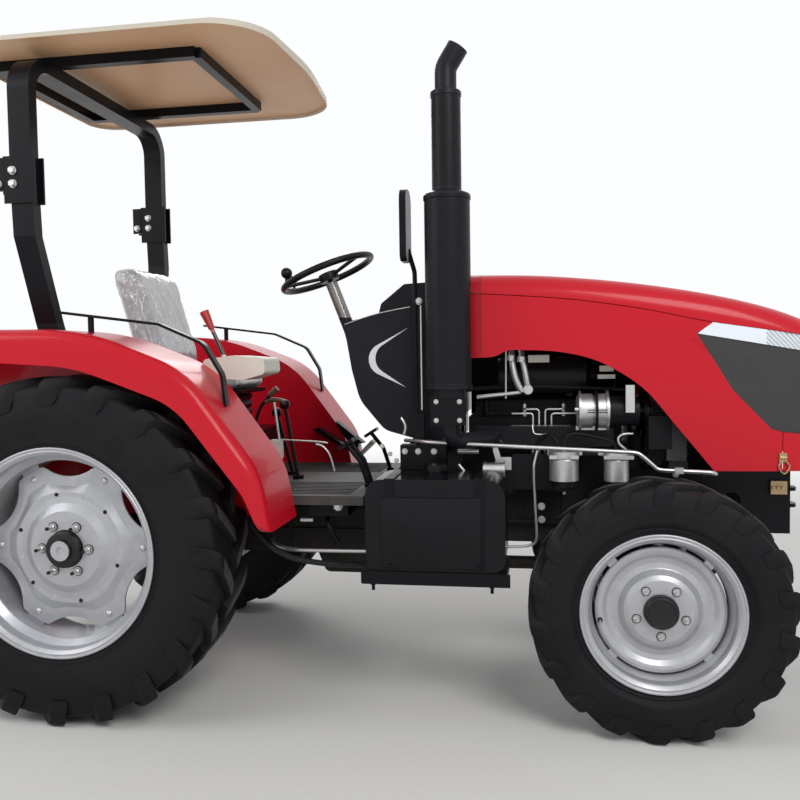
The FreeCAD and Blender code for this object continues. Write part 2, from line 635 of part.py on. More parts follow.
def belt_wire(grown, level):
    """Outline of the belt: outer tangents of the pulleys, joined by arcs round them."""
    spans = []
    for i, (y0, z0, r0) in enumerate(belt_pulleys):
        y1, z1, r1 = belt_pulleys[(i + 1) % len(belt_pulleys)]
        apart = math.hypot(y1 - y0, z1 - z0)
        normal = math.atan2(z1 - z0, y1 - y0) - math.acos((r0 - r1) / apart)
        out = V(0, math.cos(normal), math.sin(normal))
        spans.append((normal, V(level, y0, z0) + out * (r0 + grown), V(level, y1, z1) + out * (r1 + grown)))
    edges = []
    for i, (normal, start, end) in enumerate(spans):
        before, _, arrival = spans[i - 1]
        y0, z0, r0 = belt_pulleys[i]
        crown = before + ((normal - before) % (2 * math.pi)) / 2
        top = V(level, y0, z0) + V(0, math.cos(crown), math.sin(crown)) * (r0 + grown)
        edges.append(Part.Arc(arrival, top, start).toShape())
        edges.append(Part.LineSegment(start, end).toShape())
    return Part.Wire(edges)


belt_x = timing_front + fit_gap + 7
belt_width = 12
belt_thick = 9
belt_band = Part.Face(belt_wire(belt_thick, belt_x)).cut(Part.Face(belt_wire(0, belt_x)))
fittings.append(belt_band.extrude(V(belt_width, 0, 0)))

# Radiator on the front frame: finned core between two tanks, and the cowl round the fan
core_rear = radiator_x + 8
core_front = radiator_x + 60
core = box(core_rear, core_front, -222, 222, 905, 1245)
low_tank = slab([(radiator_x, frame_top + fit_gap), (radiator_x + 70, frame_top + fit_gap),
                 (radiator_x + 70, 906, 12), (radiator_x, 906, 12)], "xz", -frame_half, frame_half)
tank_z = 1268
high_tank = slab([(radiator_x - 6, tank_z - 24), (radiator_x + 74, tank_z - 24), (radiator_x + 74, tank_z + 24, 20),
                  (radiator_x - 6, tank_z + 24, 20)], "xz", -225, 225)
filler = rod(radiator_x + 34, 120, tank_z + 20, V(0, 0, 1), 28, 24)
fan_ring = rod(radiator_x - 72, 0, fan_z, V(1, 0, 0), 192, 60)
ring_plate = box(radiator_x - 12, core_rear, -222, 222, 906, tank_z - 24)
fan_space = rod(radiator_x - 80, 0, fan_z, V(1, 0, 0), 186, core_rear - radiator_x + 80)
core_fins = [box(core_front, core_front + 4, -218, 218, z, z + 6) for z in range(920, 1235, 14)]
parts["radiator"] = fuse(core, low_tank, high_tank, filler, fuse(fan_ring, ring_plate).cut(fan_space), *core_fins)

# Coolant hoses: thermostat to the top tank, and low tank to the timing case
top_hose = tube([(engine_front - 30, 55, head_top + 34 + fit_gap), (engine_front - 30, 55, tank_z),
                 (radiator_x - 6 - fit_gap, 55, tank_z)], 20, 60)
low_hose = tube([(timing_front + fit_gap, 141, 770), (timing_front + 55, 141, 770), (timing_front + 55, 141, 884),
                 (radiator_x - fit_gap, 141, 884)], 17, 32)
fittings += [top_hose, low_hose]
parts["engine_fittings"] = Part.makeCompound(fittings)

# Fan on the water pump's shaft, inside the cowl, with its pulley
fan_x = timing_front + 47
fan_hub = rod(timing_front + 20, 0, fan_z, V(1, 0, 0), 40, fan_x + 8 - timing_front - 20)
blades = []
for i in range(6):
    blade = box(fan_x - 2, fan_x + 2, -32, 32, fan_z + 30, fan_z + 174)
    blade.rotate(V(fan_x, 0, fan_z), V(0, 0, 1), 30)
    blade.rotate(V(fan_x, 0, fan_z), V(1, 0, 0), 60 * i)
    blades.append(blade)
parts["fan"] = fuse(pulley(0, fan_z, 68, pump_groove), fan_hub, *blades)

# Fuel tank in its cradle on the right side of the clutch housing, held by two straps
tray_low = 508
tray_top = 555
tray_sheet = 9
tank_rear = engine_rear - 308
tank_front = engine_rear + 190
tank_in = -370
tank_out = -620
tank_high = 882
tank_foot = tray_top + fit_gap
tank = slab([(tank_rear, tank_foot, 45), (tank_front, tank_foot, 45), (tank_front, tank_high, 60),
             (tank_rear, tank_high, 60)], "xz", tank_out, tank_in)
tank_neck = turned_up([(0, tank_high - 5), (36, tank_high - 5), (36, tank_high + 14), (44, tank_high + 16),
                       (44, tank_high + 40), (0, tank_high + 40)], tank_rear + 238, -495)
parts["fuel_tank"] = fuse(tank, tank_neck)
tray_rear = tank_rear - 18
tray_front = tank_front + 4
tray_out = tank_out - 5
channel = [(tray_rear, tray_low), (tray_rear + tray_sheet, tray_low),
           (tray_rear + tray_sheet, tray_top - tray_sheet), (tray_front - tray_sheet, tray_top - tray_sheet),
           (tray_front - tray_sheet, tray_low), (tray_front, tray_low), (tray_front, tray_top),
           (tray_rear, tray_top)]
tray_pieces = [slab(channel, "xz", tray_out, tank_in + 10)]
tray_pieces.append(box(tray_rear + 26, tray_rear + 206, tank_in + 9, -gearbox_half - fit_gap, tray_low, tray_top))
strap = 3.5
strap_half = 18
for strap_x in (tank_rear + 88, tank_front - 90):
    band = slab([(tank_out - fit_gap - strap, tray_top - 2), (tank_out - fit_gap - strap, tank_high + strap, 5),
                 (tank_in + fit_gap + strap, tank_high + strap, 5), (tank_in + fit_gap + strap, tray_top - 2)],
                "yz", strap_x - strap_half, strap_x + strap_half)
    inside = box(strap_x - 30, strap_x + 30, tank_out - fit_gap, tank_in + fit_gap, tray_top - 10,
                 tank_high + fit_gap)
    tray_pieces.append(band.cut(inside))
tank_tray = fuse(*tray_pieces)

# Battery box on the left side, on a bracket of the same height, with a lid and its strap
battery_rear = engine_rear - 290
battery_front = engine_rear + 30
battery = slab([(battery_rear, tank_foot), (battery_front, tank_foot), (battery_front, 770, 15),
                (battery_rear, 770, 15)], "xz", 330, 540)
lid = slab([(battery_rear - 6, 762, 10), (battery_front + 6, 762, 10), (battery_front + 6, 800, 18),
            (battery_rear - 6, 800, 18)], "xz", 324, 546)
latch = box(battery_rear + 140, battery_rear + 180, 536, 552, 700, 790)
parts["battery_box"] = fuse(battery, lid, latch)
battery_arm = box(tray_rear + 26, tray_rear + 206, gearbox_half + fit_gap, 545, tray_low, tray_top)
parts["side_trays"] = Part.makeCompound([tank_tray, battery_arm])

# Platform: pressed floor with folded edges, three bays under each side and raised tread ribs
floor_half = fender_inner - fit_gap
floor_sheet = 5
floor = box(platform_rear, platform_front, -floor_half, floor_half, platform_top - platform_rim, platform_top)
bay_in = gearbox_half + 15
bay_long = (platform_front - platform_rear - 4 * floor_sheet) / 3
for side in (-1, 1):
    low = min(side * bay_in, side * (floor_half - floor_sheet))
    high = max(side * bay_in, side * (floor_half - floor_sheet))
    for i in range(3):
        bay_x = platform_rear + floor_sheet + i * (bay_long + floor_sheet)
        floor = floor.cut(box(bay_x, bay_x + bay_long, low, high, platform_top - platform_rim - 1,
                              platform_top - floor_sheet))
tread_ribs = []
for i in range(9):
    y = 165 + 36 * i
    for side in (-1, 1):
        tread_ribs.append(box(platform_rear + 40, platform_front - 60, side * y - 6, side * y + 6,
                              platform_top - 1, platform_top + 3))
parts["platform"] = fuse(floor, *tread_ribs)

# Rear fenders: pressed sheet with a rolled outer edge, outer skirt and full inner wall
fender_curve = [(802, fender_base), (762, 930, 300), (500, 1285, 400), (120, 1432, 900),
                (-520, 1440, 140), (-640, 1250), (-430, 800, 120), (-380, fender_base, 60)]


def inset_wire(points, plane, level, distance):
    wire = outline(points, plane, level)
    if distance == 0:
        return wire
    shrunk = wire.makeOffset2D(-distance)
    if Part.Face(shrunk).Area > Part.Face(wire).Area:
        shrunk = wire.makeOffset2D(distance)
    return shrunk


def fender_block(inset):
    wire = inset_wire(fender_curve, "xz", fender_inner + inset, inset)
    depth = fender_outer - fender_inner - 2 * inset
    block = Part.Face(wire).extrude(V(0, depth, 0))
    rolled = []
    for edge in block.Edges:
        low, high = edge.BoundBox.YMin, edge.BoundBox.YMax
        on_outside = low > fender_outer - inset - 0.01 and high < fender_outer - inset + 0.01
        if on_outside and edge.BoundBox.ZMax > fender_base + 40:
            rolled.append(edge)
    return block.makeFillet(fender_edge - inset, rolled)


fender_shape = fender_block(0)
skirt_edge = [(776, fender_base - 20), (712, 850, 200), (470, 1160, 300), (100, 1297, 700), (-480, 1335, 80),
              (-560, 1240), (-700, 1240), (-700, fender_base - 20)]
wheel_opening = slab(skirt_edge, "xz", fender_inner + fender_sheet, fender_outer + 60)
fender_l = fender_shape.cut(fender_block(fender_sheet)).cut(wheel_opening)
parts["fender_l"] = fender_l
parts["fender_r"] = mirrored(fender_l)

# Tail lamps on the backs of the fenders
lamp_block = box(-690, -560, 570, 690, 1262, 1322).cut(fender_shape)
lamp_block.translate(V(-fit_gap, 0, 0))
parts["tail_lamps"] = Part.makeCompound([lamp_block, mirrored(lamp_block)])

# Seat: deck between the fenders, bellows over the suspension, cushion and reclined back
deck_sheet = 5
deck_low = lift_top + fit_gap
deck_top = deck_low + deck_sheet
seat_low = 1190
seat_top = 1285
deck = box(-70, platform_rear + deck_sheet, -floor_half, floor_half, deck_low, deck_top)
for side in (-1, 1):
    low, high = sorted((side * 425, side * fender_inner))
    deck = deck.cut(box(-80, 10, low, high, deck_low - 5, deck_top + 5))
riser = box(platform_rear, platform_rear + deck_sheet, -floor_half, floor_half, platform_top + fit_gap, deck_top)
riser = riser.cut(box(platform_rear - 5, platform_rear + 10, -80, 80, platform_top - 5, 900))
folds = []
fold_tall = (seat_low - 20 - deck_top) / 5
for i in range(5):
    z = deck_top + i * fold_tall
    folds.append(slab([(60, z), (48, z + fold_tall / 2), (60, z + fold_tall), (400, z + fold_tall),
                       (412, z + fold_tall / 2), (400, z)], "xz", -140, 140))
seat_pan = slab([(10, seat_low - 20, 8), (450, seat_low - 20, 8), (460, seat_low), (0, seat_low)], "xz", -190, 190)
parts["seat_base"] = fuse(deck, riser, seat_pan, *folds)
parts["seat_cushion"] = slab([(-10, seat_low + fit_gap, 8), (480, seat_low + fit_gap, 30), (480, seat_top, 42),
                              (-10, seat_top, 8)], "xz", -230, 230)
parts["seat_back"] = slab([(0, seat_top + fit_gap, 10), (150, seat_top + fit_gap, 10), (-18, 1738, 30),
                           (-103, 1722, 30)], "xz", -230, 230)

# Hood shell: sections along X, each (distance from the rear edge, crown height, half width)
hood_sections = [(0, 1645, hood_half), (260, 1636, hood_half), (510, 1612, hood_half), (740, 1578, hood_half),
                 (930, 1540, hood_half - 2), (1090, 1497, hood_half - 8), (1220, 1448, hood_half - 20),
                 (1330, 1392, hood_half - 50), (1395, 1344, hood_half - 82), (hood_length, 1296, hood_half - 122)]
shoulder_radius = 88
shoulder_drop = 24
crown_rise = 8


def hood_solid(inset):
    wires = []
    over = 1 if inset else 0
    for i, (ahead, crown, half) in enumerate(hood_sections):
        x = hood_rear + ahead
        half = half - inset
        crown = crown - inset
        if i == 0:
            x = x - over
        if i == len(hood_sections) - 1:
            x = x - inset
        shoulder = crown - shoulder_drop
        radius = shoulder_radius - inset
        points = [(-half, hood_base - over), (-half, shoulder, radius), (0, crown + crown_rise, 4 * half),
                  (half, shoulder, radius), (half, hood_base - over)]
        wires.append(outline(points, "yz", x))
    return Part.makeLoft(wires, True, True)


# Lines that part the hood, in (x, z): seam under the top panel, lamp strip, mesh and lower edge
shell = hood_solid(0).cut(hood_solid(panel))
past = 20
seam = [(hood_rear - past, 1557), (hood_rear + 350, 1527), (hood_rear + 635, 1483), (hood_rear + 890, 1427),
        (hood_rear + 1185, 1379), (hood_front + past, 1330)]
lamp_low = [(hood_front + past, 1270), (hood_rear + 1186, 1320), (hood_rear + 834, 1386)]
mesh_rear = [(hood_rear + 834, 1386), (hood_rear + 960, 1179), (hood_rear + 1094, 1034, 60),
             (hood_rear + 1188, 1020), (hood_front + past, 1000)]
nose_seam = hood_front - 296
lower_edge = [(hood_rear - past, 1309), (hood_rear + 95, 1312), (hood_rear + 150, 1337, 40),
              (hood_rear + 350, 1326, 500), (hood_rear + 495, 1286, 300), (hood_rear + 645, 1190, 300),
              (hood_rear + 895, 886)]
over_seam = seam + [(hood_front + past, 1800), (hood_rear - past, 1800)]
hood_wide = hood_half + 50
above = slab(over_seam, "xz", -hood_wide, hood_wide)
lamp_zone = slab(seam[3:] + lamp_low, "xz", -hood_wide, hood_wide)
mesh_zone = slab([(hood_front + past, 1270), (hood_rear + 1186, 1320)] + mesh_rear, "xz", -hood_wide, hood_wide)
below = slab(lower_edge + [(hood_rear + 895, 800), (hood_rear - past, 800)], "xz", -hood_wide, hood_wide)

hood_top = shell.common(above)
rest = shell.cut(above).cut(lamp_zone).cut(mesh_zone).cut(below)
front_half = box(nose_seam, hood_front + past, -hood_wide, hood_wide, 800, 1800)
parts["nose_cowl"] = rest.common(front_half)
side_rest = rest.cut(front_half)
side_front = nose_seam + 5
parts["side_panel_l"] = side_rest.common(box(hood_rear - past, side_front, 0, hood_wide, 800, 1800))
parts["side_panel_r"] = side_rest.common(box(hood_rear - past, side_front, -hood_wide, 0, 800, 1800))

# Headlamps: strip round the nose with a lens bowl behind it on each side
lamp_x = hood_rear + 1240
lamp_z = 1330
lamp_bowls = []
for side in (-1, 1):
    bowl = rod(lamp_x, side * 215, lamp_z - 12, V(1, 0, 0), 42, 120)
    lamp_bowls.append(bowl.common(hood_solid(panel + 1)))
lamp_backs = hood_solid(panel - 1).cut(hood_solid(panel + 9)).common(slab(
    [(hood_rear + 1130, 1372), (hood_front + past, 1312), (hood_front + past, 1284), (hood_rear + 1130, 1338)],
    "xz", -hood_wide, hood_wide))
parts["headlamps"] = fuse(shell.common(lamp_zone), lamp_backs, *lamp_bowls)

# Grille: sheet behind the nose opening, cut through in rows of slots
mesh_sheet = hood_solid(panel + fit_gap).cut(hood_solid(panel + 4))
mesh_wide = slab([(hood_front + past, 1268), (hood_rear + 1186, 1318), (hood_rear + 822, 1384),
                  (hood_rear + 950, 1168), (hood_rear + 1082, 1012, 60), (hood_rear + 1188, 1006),
                  (hood_front + past, 986)], "xz", -hood_wide, hood_wide)
slots = []
for row in range(8):
    z = 1042 + 28 * row
    for column in range(6):
        x = hood_rear + 1020 + 56 * column + 2.5 * (row % 2)
        slots.append(box(x, x + 46, -hood_wide, hood_wide, z, z + 16))
    for column in range(7):
        y = -182 + 53 * column
        slots.append(box(hood_front - 12, hood_front + past, y, y + 44, z, z + 16))
parts["grille_mesh"] = mesh_sheet.common(mesh_wide).cut(Part.makeCompound(slots))

# Hood hinge: lugs under the hood turn on pins of the bulkhead's brackets
hinge_x = hood_rear + 32
hinge_z = 1596
hinge_y = 180
hinge_pin = 8
under_hood = hood_solid(2)
for side in (-1, 1):
    plate = slab([(hinge_x - 16, hinge_z - 8, 8), (hinge_x + 16, hinge_z - 8, 8), (hinge_x + 22, 1640),
                  (hinge_x - 22, 1640)], "xz", side * hinge_y - 4, side * hinge_y + 4)
    hood_top = hood_top.fuse(plate.common(under_hood))
hood_top = hood_top.cut(rod(hinge_x, -300, hinge_z, V(0, 1, 0), hinge_pin + shaft_gap, 600))
parts["hood_top"] = hood_top.removeSplitter()

# Bulkhead between hood and dash, standing on the clutch bell
bulkhead_x = engine_rear - 6
bulkhead_sheet = 6
bulkhead_top = 1540
bulkhead = [box(bulkhead_x, bulkhead_x + bulkhead_sheet, -300, 300, 1075, bulkhead_top)]
for side in (-1, 1):
    bulkhead.append(box(bulkhead_x, bulkhead_x + bulkhead_sheet, side * 38 - 15, side * 38 + 15,
                        960 + fit_gap, 1080))
    arm_y = side * (hinge_y - 14)
    bulkhead.append(slab([(bulkhead_x, 1500), (bulkhead_x + bulkhead_sheet, 1500), (hinge_x + 14, hinge_z - 14, 10),
                          (hinge_x + 14, hinge_z + 14, 13), (hinge_x - 14, hinge_z + 14, 13),
                          (bulkhead_x, bulkhead_top + 5)], "xz", arm_y - 4, arm_y + 4))
    pin_end = side * (hinge_y + 9)
    bulkhead.append(rod(hinge_x, min(arm_y, pin_end), hinge_z, V(0, 1, 0), hinge_pin, abs(arm_y - pin_end)))
parts["bulkhead"] = fuse(*bulkhead)

# Dash cowl with the instrument visor, the side trim and the steering column
dash_front = bulkhead_x - fit_gap
dash_half = 220
dash_outline = [(dash_front - 470, 1458, 12), (dash_front, 1560), (dash_front, 984), (dash_front - 158, 984, 20),
                (dash_front - 300, 1024, 80), (dash_front - 401, 1146, 150), (dash_front - 432, 1268, 150),
                (dash_front - 452, 1389, 60)]
cowl = slab(dash_outline, "xz", -dash_half, dash_half)
visor = slab([(dash_front - 335, 1470), (dash_front - 318, 1535, 10), (dash_front - 222, 1612, 20),
              (dash_front, 1622), (dash_front, 1470)], "xz", -165, 165)
crescent = [(dash_front - 197, 1434), (dash_front - 440, 1306, 65), (dash_front - 210, 1195),
            (dash_front - 385, 1314, 63)]
trim = slab(crescent, "xz", -dash_half - 3, -dash_half + 2)
tilt = math.radians(steering_tilt)
up = V(-math.sin(tilt), 0, math.cos(tilt))
wheel_centre = V(steering_wheel_x, 0, steering_wheel_z)
column = Part.makeCylinder(26, 245, wheel_centre - up * 290, up)
cowl = fuse(cowl, visor, trim, mirrored(trim), column)
parts["dash_cowl"] = cowl.cut(Part.makeCylinder(11 + shaft_gap, 80, wheel_centre - up * 110, up))

# Steering wheel: rim, three spokes, hub on its spindle and a spinner knob
grip = 14
ring_radius = steering_wheel_radius - grip
ring = Part.makeTorus(ring_radius, grip, wheel_centre, up)
hub = Part.makeCylinder(42, 34, wheel_centre - up * 34, up)
spindle_pin = Part.makeCylinder(11, 70, wheel_centre - up * 100, up)
across = V(math.cos(tilt), 0, math.sin(tilt))
wheel_pieces = [ring, hub, spindle_pin]
for angle in (90, 210, 330):
    turn = math.radians(angle)
    ray = across * math.cos(turn) + V(0, 1, 0) * math.sin(turn)
    spoke_start = wheel_centre - up * 16 + ray * 20
    wheel_pieces.append(Part.makeCylinder(8, ring_radius - 20, spoke_start, ray + up * 0.09))
knob_turn = math.radians(205)
knob_at = wheel_centre + (across * math.cos(knob_turn) + V(0, -1, 0) * math.sin(knob_turn)) * ring_radius
wheel_pieces.append(Part.makeCylinder(6, 40, knob_at, up))
wheel_pieces.append(Part.makeSphere(23, knob_at + up * 48))
parts["steering_wheel"] = fuse(*wheel_pieces)

# Exhaust: shielded silencer and stack with end beads, rain bend on top, elbow to the manifold
bead = 3
silencer_low = 1193
silencer_high = 1905
stack_high = 2275
silencer = turned_up([(0, 1150), (63, 1150), (63, silencer_low), (muffler_radius, silencer_low),
                      (muffler_radius + bead, silencer_low + 5), (muffler_radius + bead, silencer_low + 18),
                      (muffler_radius, silencer_low + 23), (muffler_radius, silencer_high - 23),
                      (muffler_radius + bead, silencer_high - 18), (muffler_radius + bead, silencer_high - 5),
                      (muffler_radius, silencer_high), (stack_radius, silencer_high + 14),
                      (stack_radius, stack_high - 22), (stack_radius + bead, stack_high - 18),
                      (stack_radius + bead, stack_high - 4), (stack_radius, stack_high), (0, stack_high)],
                     exhaust_x, exhaust_y)
elbow = tube([(exhaust_x, exhaust_y, 1160), (exhaust_x, exhaust_y, 1000), (engine_rear + 130, -300, 1000),
              (engine_rear + 130, -manifold_y - fit_gap, 1000)], 30, 45)
tip_route = [(exhaust_x, exhaust_y, stack_high - 5), (exhaust_x, exhaust_y, 2360), (exhaust_x + 46, exhaust_y, 2432)]
tip = tube(tip_route, 40, 66)
tip_bore = tube(tip_route[:2] + [(exhaust_x + 60, exhaust_y, 2454)], 36, 66)
tip_bore = tip_bore.cut(box(exhaust_x - 90, exhaust_x + 90, exhaust_y - 90, exhaust_y + 90, 2200, 2330))
parts["exhaust"] = fuse(silencer, elbow, tip).cut(tip_bore)

# Roll bar: legs bolted on the axle trumpets, spliced to a hoop; the sunshade's frame on top
foot_x = post_x + 272
foot_z = rear_z + trumpet_radius + fit_gap
foot_plate = 20
leg_sections = [(splice_z, post_x, post_y), (bend_z, post_x + 6, post_y),
                (bend_z - 330, post_x + 30, post_foot_y + 8),
                (bend_z - 510, post_x + 74, post_foot_y), (foot_z + foot_plate - 8, foot_x, post_foot_y)]
leg_pieces = []
for side in (-1, 1):
    wires = []
    for z, x, y in leg_sections:
        low = side * y - tube_y / 2
        wires.append(outline([(x, low), (x + tube_x, low), (x + tube_x, low + tube_y), (x, low + tube_y)], "xy", z))
    leg = Part.makeLoft(wires, True, True)
    foot = box(foot_x - 40, foot_x + tube_x + 20, side * post_foot_y - 36, side * post_foot_y + 36,
               foot_z, foot_z + foot_plate)
    outer_low = side * (post_y + tube_y / 2 + 4) - 4
    inner_low = side * (post_y - tube_y / 2 - 4) - 4
    plates = [box(post_x - 22, post_x + tube_x + 18, low, low + 8, splice_z - 60, splice_z + 118)
              for low in (outer_low, inner_low)]
    leg_pieces.append(fuse(leg, foot, *plates))
parts["roll_bar_legs"] = Part.makeCompound(leg_pieces)
half_out = post_y + tube_y / 2
half_in = post_y - tube_y / 2
hoop_low = splice_z + fit_gap
parts["roll_bar_hoop"] = slab([(-half_out, hoop_low), (-half_out, hoop_top, 140), (half_out, hoop_top, 140),
                               (half_out, hoop_low), (half_in, hoop_low), (half_in, hoop_top - tube_y, 90),
                               (-half_in, hoop_top - tube_y, 90), (-half_in, hoop_low)],
                              "yz", post_x, post_x + tube_x)
rail_y = 360
rail_front = 390
rail_top = hoop_top + rail
frame_bars = []
for y in (-rail_y, rail_y):
    frame_bars.append(box(-460, rail_front, y - rail / 2, y + rail / 2, hoop_top, rail_top))
for x in (-460, rail_front):
    frame_bars.append(box(x - rail / 2, x + rail / 2, -rail_y, rail_y, hoop_top, rail_top))
parts["shade_frame"] = fuse(*frame_bars)

# Sunshade: moulded sheet with a shallow crown, rounded corners and a turned-down rim
shade_sheet = 6
shade_low = shade_top - shade_thickness
shade_edge = shade_top - 12


def shade_slab(inset, low, high):
    """Plan of the sunshade: small corners behind, large ones in front and a bowed front edge."""
    side = shade_half - inset
    shoulder = shade_front - 45 - inset
    return slab([(shade_rear + inset, -side, 130 - inset), (shoulder, -side, 240 - inset),
                 (shade_front - inset, 0, 1500), (shoulder, side, 240 - inset),
                 (shade_rear + inset, side, 130 - inset)], "xy", low, high)


crown_arc = [(-shade_half, shade_low - 1), (-shade_half, shade_edge, 10), (0, shade_top + 6, 20 * shade_half),
             (shade_half, shade_edge, 10), (shade_half, shade_low - 1)]
shade_form = slab(crown_arc, "yz", shade_rear - 5, shade_front + 5)
shade = shade_slab(0, shade_low, shade_top + 10).common(shade_form)
parts["sunshade"] = shade.cut(shade_slab(shade_sheet, shade_low - 1, rail_top + fit_gap))

# Grab rails on the fenders: bent flat bar on a rear post
grab_y = 670
grab_line = [(-34, 1499), (355, 1447), (522, 1374), (589, 1262), (602, 1150)]
rails = []
for side in (-1, 1):
    grab_bar = flat_bar(grab_line, side * grab_y, 34, 10, 60)
    rear_foot = rod(85, side * grab_y, 1400, V(0, 0, 1), 11, 82)
    rail_piece = fuse(grab_bar, rear_foot).cut(fender_shape if side == 1 else mirrored(fender_shape))
    rail_piece.translate(V(0, 0, fit_gap))
    rails.append(rail_piece)
parts["grab_rails"] = Part.makeCompound(rails)

# Mirrors on poles, the right one from the tank tray and the left one from the battery box
mirror_x = engine_rear - 150
mirror_y = 347
mirrors = []
for side, stand_z in ((-1, tank_foot), (1, 800 + fit_gap)):
    pole = tube([(mirror_x, side * mirror_y, stand_z), (mirror_x - 7, side * mirror_y, 1640),
                 (mirror_x - 25, side * (mirror_y + 43), 1720)], 9, 40)
    low, high = sorted((side * (mirror_y - 12), side * (mirror_y + 118)))
    head_plate = slab([(low, 1672, 30), (high, 1672, 30), (high, 1940, 50), (low, 1940, 50)],
                      "yz", mirror_x - 45, mirror_x - 20)
    mirrors.append(fuse(pole, head_plate))
parts["mirror"] = Part.makeCompound(mirrors)

# Controls: console on the right fender, gear levers and pedals on the platform
console = slab([(440, 1250, 12), (600, 1238, 12), (690, 1262, 20), (685, 1322, 15), (560, 1332, 20),
                (446, 1318, 15)], "xz", -floor_half, -310)
lever = tube([(504, -400, 1300), (429, -400, 1470)], 8, 0)
knob = Part.makeCone(12, 19, 75, V(443, -400, 1438), V(-75, 0, 170))
parts["console"] = fuse(console, lever, knob)
lever_foot = platform_top + fit_gap
controls = []
for x, y, z, lean in ((engine_rear - 840, 60, 1080, -30), (engine_rear - 780, -60, 1120, 20)):
    controls.append(fuse(tube([(x + 60, y, lever_foot + 6), (x, y + lean, z)], 8, 0),
                         rod(x + 60, y, lever_foot, V(0, 0, 1), 24, 14),
                         Part.makeSphere(22, V(x, y + lean, z))))
pedal_x = platform_front - 30
for y in (-260, -190, 240):
    stem = tube([(pedal_x, y, lever_foot + 6), (pedal_x - 30, y, 900), (pedal_x - 88, y, 972)], 9, 30)
    foot = rod(pedal_x, y, lever_foot, V(0, 0, 1), 16, 12)
    pad = slab([(pedal_x - 110, 950), (pedal_x - 55, 985), (pedal_x - 62, 996), (pedal_x - 117, 961)],
               "xz", y - 28, y + 28)
    controls.append(fuse(stem, pad, foot))
parts["foot_controls"] = Part.makeCompound(controls)

# Rear linkage: lower links, lift arms on the rockshaft and slotted lift rods
link_rise = link_eye_z - link_pivot_z


def along_link(share):
    return V(link_pivot_x + share * (link_eye_x - link_pivot_x), link_pivot_y + share * (link_eye_y - link_pivot_y),
             link_pivot_z + share * link_rise)


def link_bar():
    start = along_link(0)
    run = along_link(1) - start
    flat = V(-run.y, run.x, 0).normalize()
    tall = run.cross(flat).normalize()
    stations = ((0.03, 24), (0.5, 34), (0.97, 22))
    loop = [start + run * share + tall * height for share, height in stations]
    loop += [start + run * share - tall * height for share, height in reversed(stations)]
    wire = Part.makePolygon([point - flat * 9 for point in loop + loop[:1]])
    return Part.Face(wire).extrude(flat * 18)


def eye(centre, radius, width, bore):
    outer = rod(centre.x, centre.y - width / 2, centre.z, V(0, 1, 0), radius, width)
    hole = rod(centre.x, centre.y - width / 2 - 50, centre.z, V(0, 1, 0), bore, width + 100)
    return outer, hole


front_eye, front_hole = eye(along_link(0), 30, 40, 12 + shaft_gap)
rear_eye, rear_hole = eye(along_link(1), 32, 35, link_eye_bore)
rod_pin_at = along_link(rod_eye_share)
rod_pin = Part.makeCylinder(9, 48, rod_pin_at, V(0, 1, 0))
link_l = fuse(link_bar(), front_eye, rear_eye, rod_pin).cut(front_hole).cut(rear_hole)
parts["lower_links"] = Part.makeCompound([link_l, mirrored(link_l)])

lift_y = 150
lift_plate = 22
lift_arm = slab([(rockshaft_x + 40, rockshaft_z - 44, 40), (rockshaft_x + 40, rockshaft_z + 44, 40),
                 (lift_arm_end_x - 22, lift_arm_end_z + 22, 20), (lift_arm_end_x - 22, lift_arm_end_z - 22, 20)],
                "xz", lift_y, lift_y + lift_plate)
lift_pin = rod(lift_arm_end_x, lift_y, lift_arm_end_z, V(0, 1, 0), 10, 52)
rockshaft = rod(rockshaft_x, -lift_y - lift_plate, rockshaft_z, V(0, 1, 0), 24, 2 * (lift_y + lift_plate))
parts["lift_arms"] = fuse(rockshaft, lift_arm, lift_pin, mirrored(lift_arm), mirrored(lift_pin))

rod_in = lift_y + lift_plate + 0.5
top_eye = rod(lift_arm_end_x, rod_in, lift_arm_end_z, V(0, 1, 0), 22, 22)
top_hole = rod(lift_arm_end_x, lift_y, lift_arm_end_z, V(0, 1, 0), 10 + shaft_gap, 60)
slot_out = 26
slot_dir = V(rod_pin_at.x - lift_arm_end_x, 0, rod_pin_at.z - lift_arm_end_z).normalize()
slot_side = V(-slot_dir.z, 0, slot_dir.x)


def slot_block(long, wide, y, thick):
    corners = [rod_pin_at + V(0, y, 0) + slot_dir * a + slot_side * b
               for a, b in ((-long, -wide), (long, -wide), (long, wide), (-long, wide))]
    return facet(*corners).extrude(V(0, thick, 0))


bar_top = V(lift_arm_end_x, rod_in + 11, lift_arm_end_z) + slot_dir * 18
bar_low = rod_pin_at + V(0, slot_out + 6, 0) - slot_dir * 52
lift_bar = tube([tuple(bar_top), tuple(bar_low)], 10, 0)
bar_run = (bar_low - bar_top).normalize()
sleeve = Part.makeCylinder(16, 150, bar_top + bar_run * 70, bar_run)
lift_rod = fuse(top_eye, slot_block(60, 24, slot_out, 12), lift_bar, sleeve)
lift_rod = lift_rod.cut(top_hole).cut(slot_block(38, 13, 0, 60))
parts["lift_rods"] = Part.makeCompound([lift_rod, mirrored(lift_rod)])

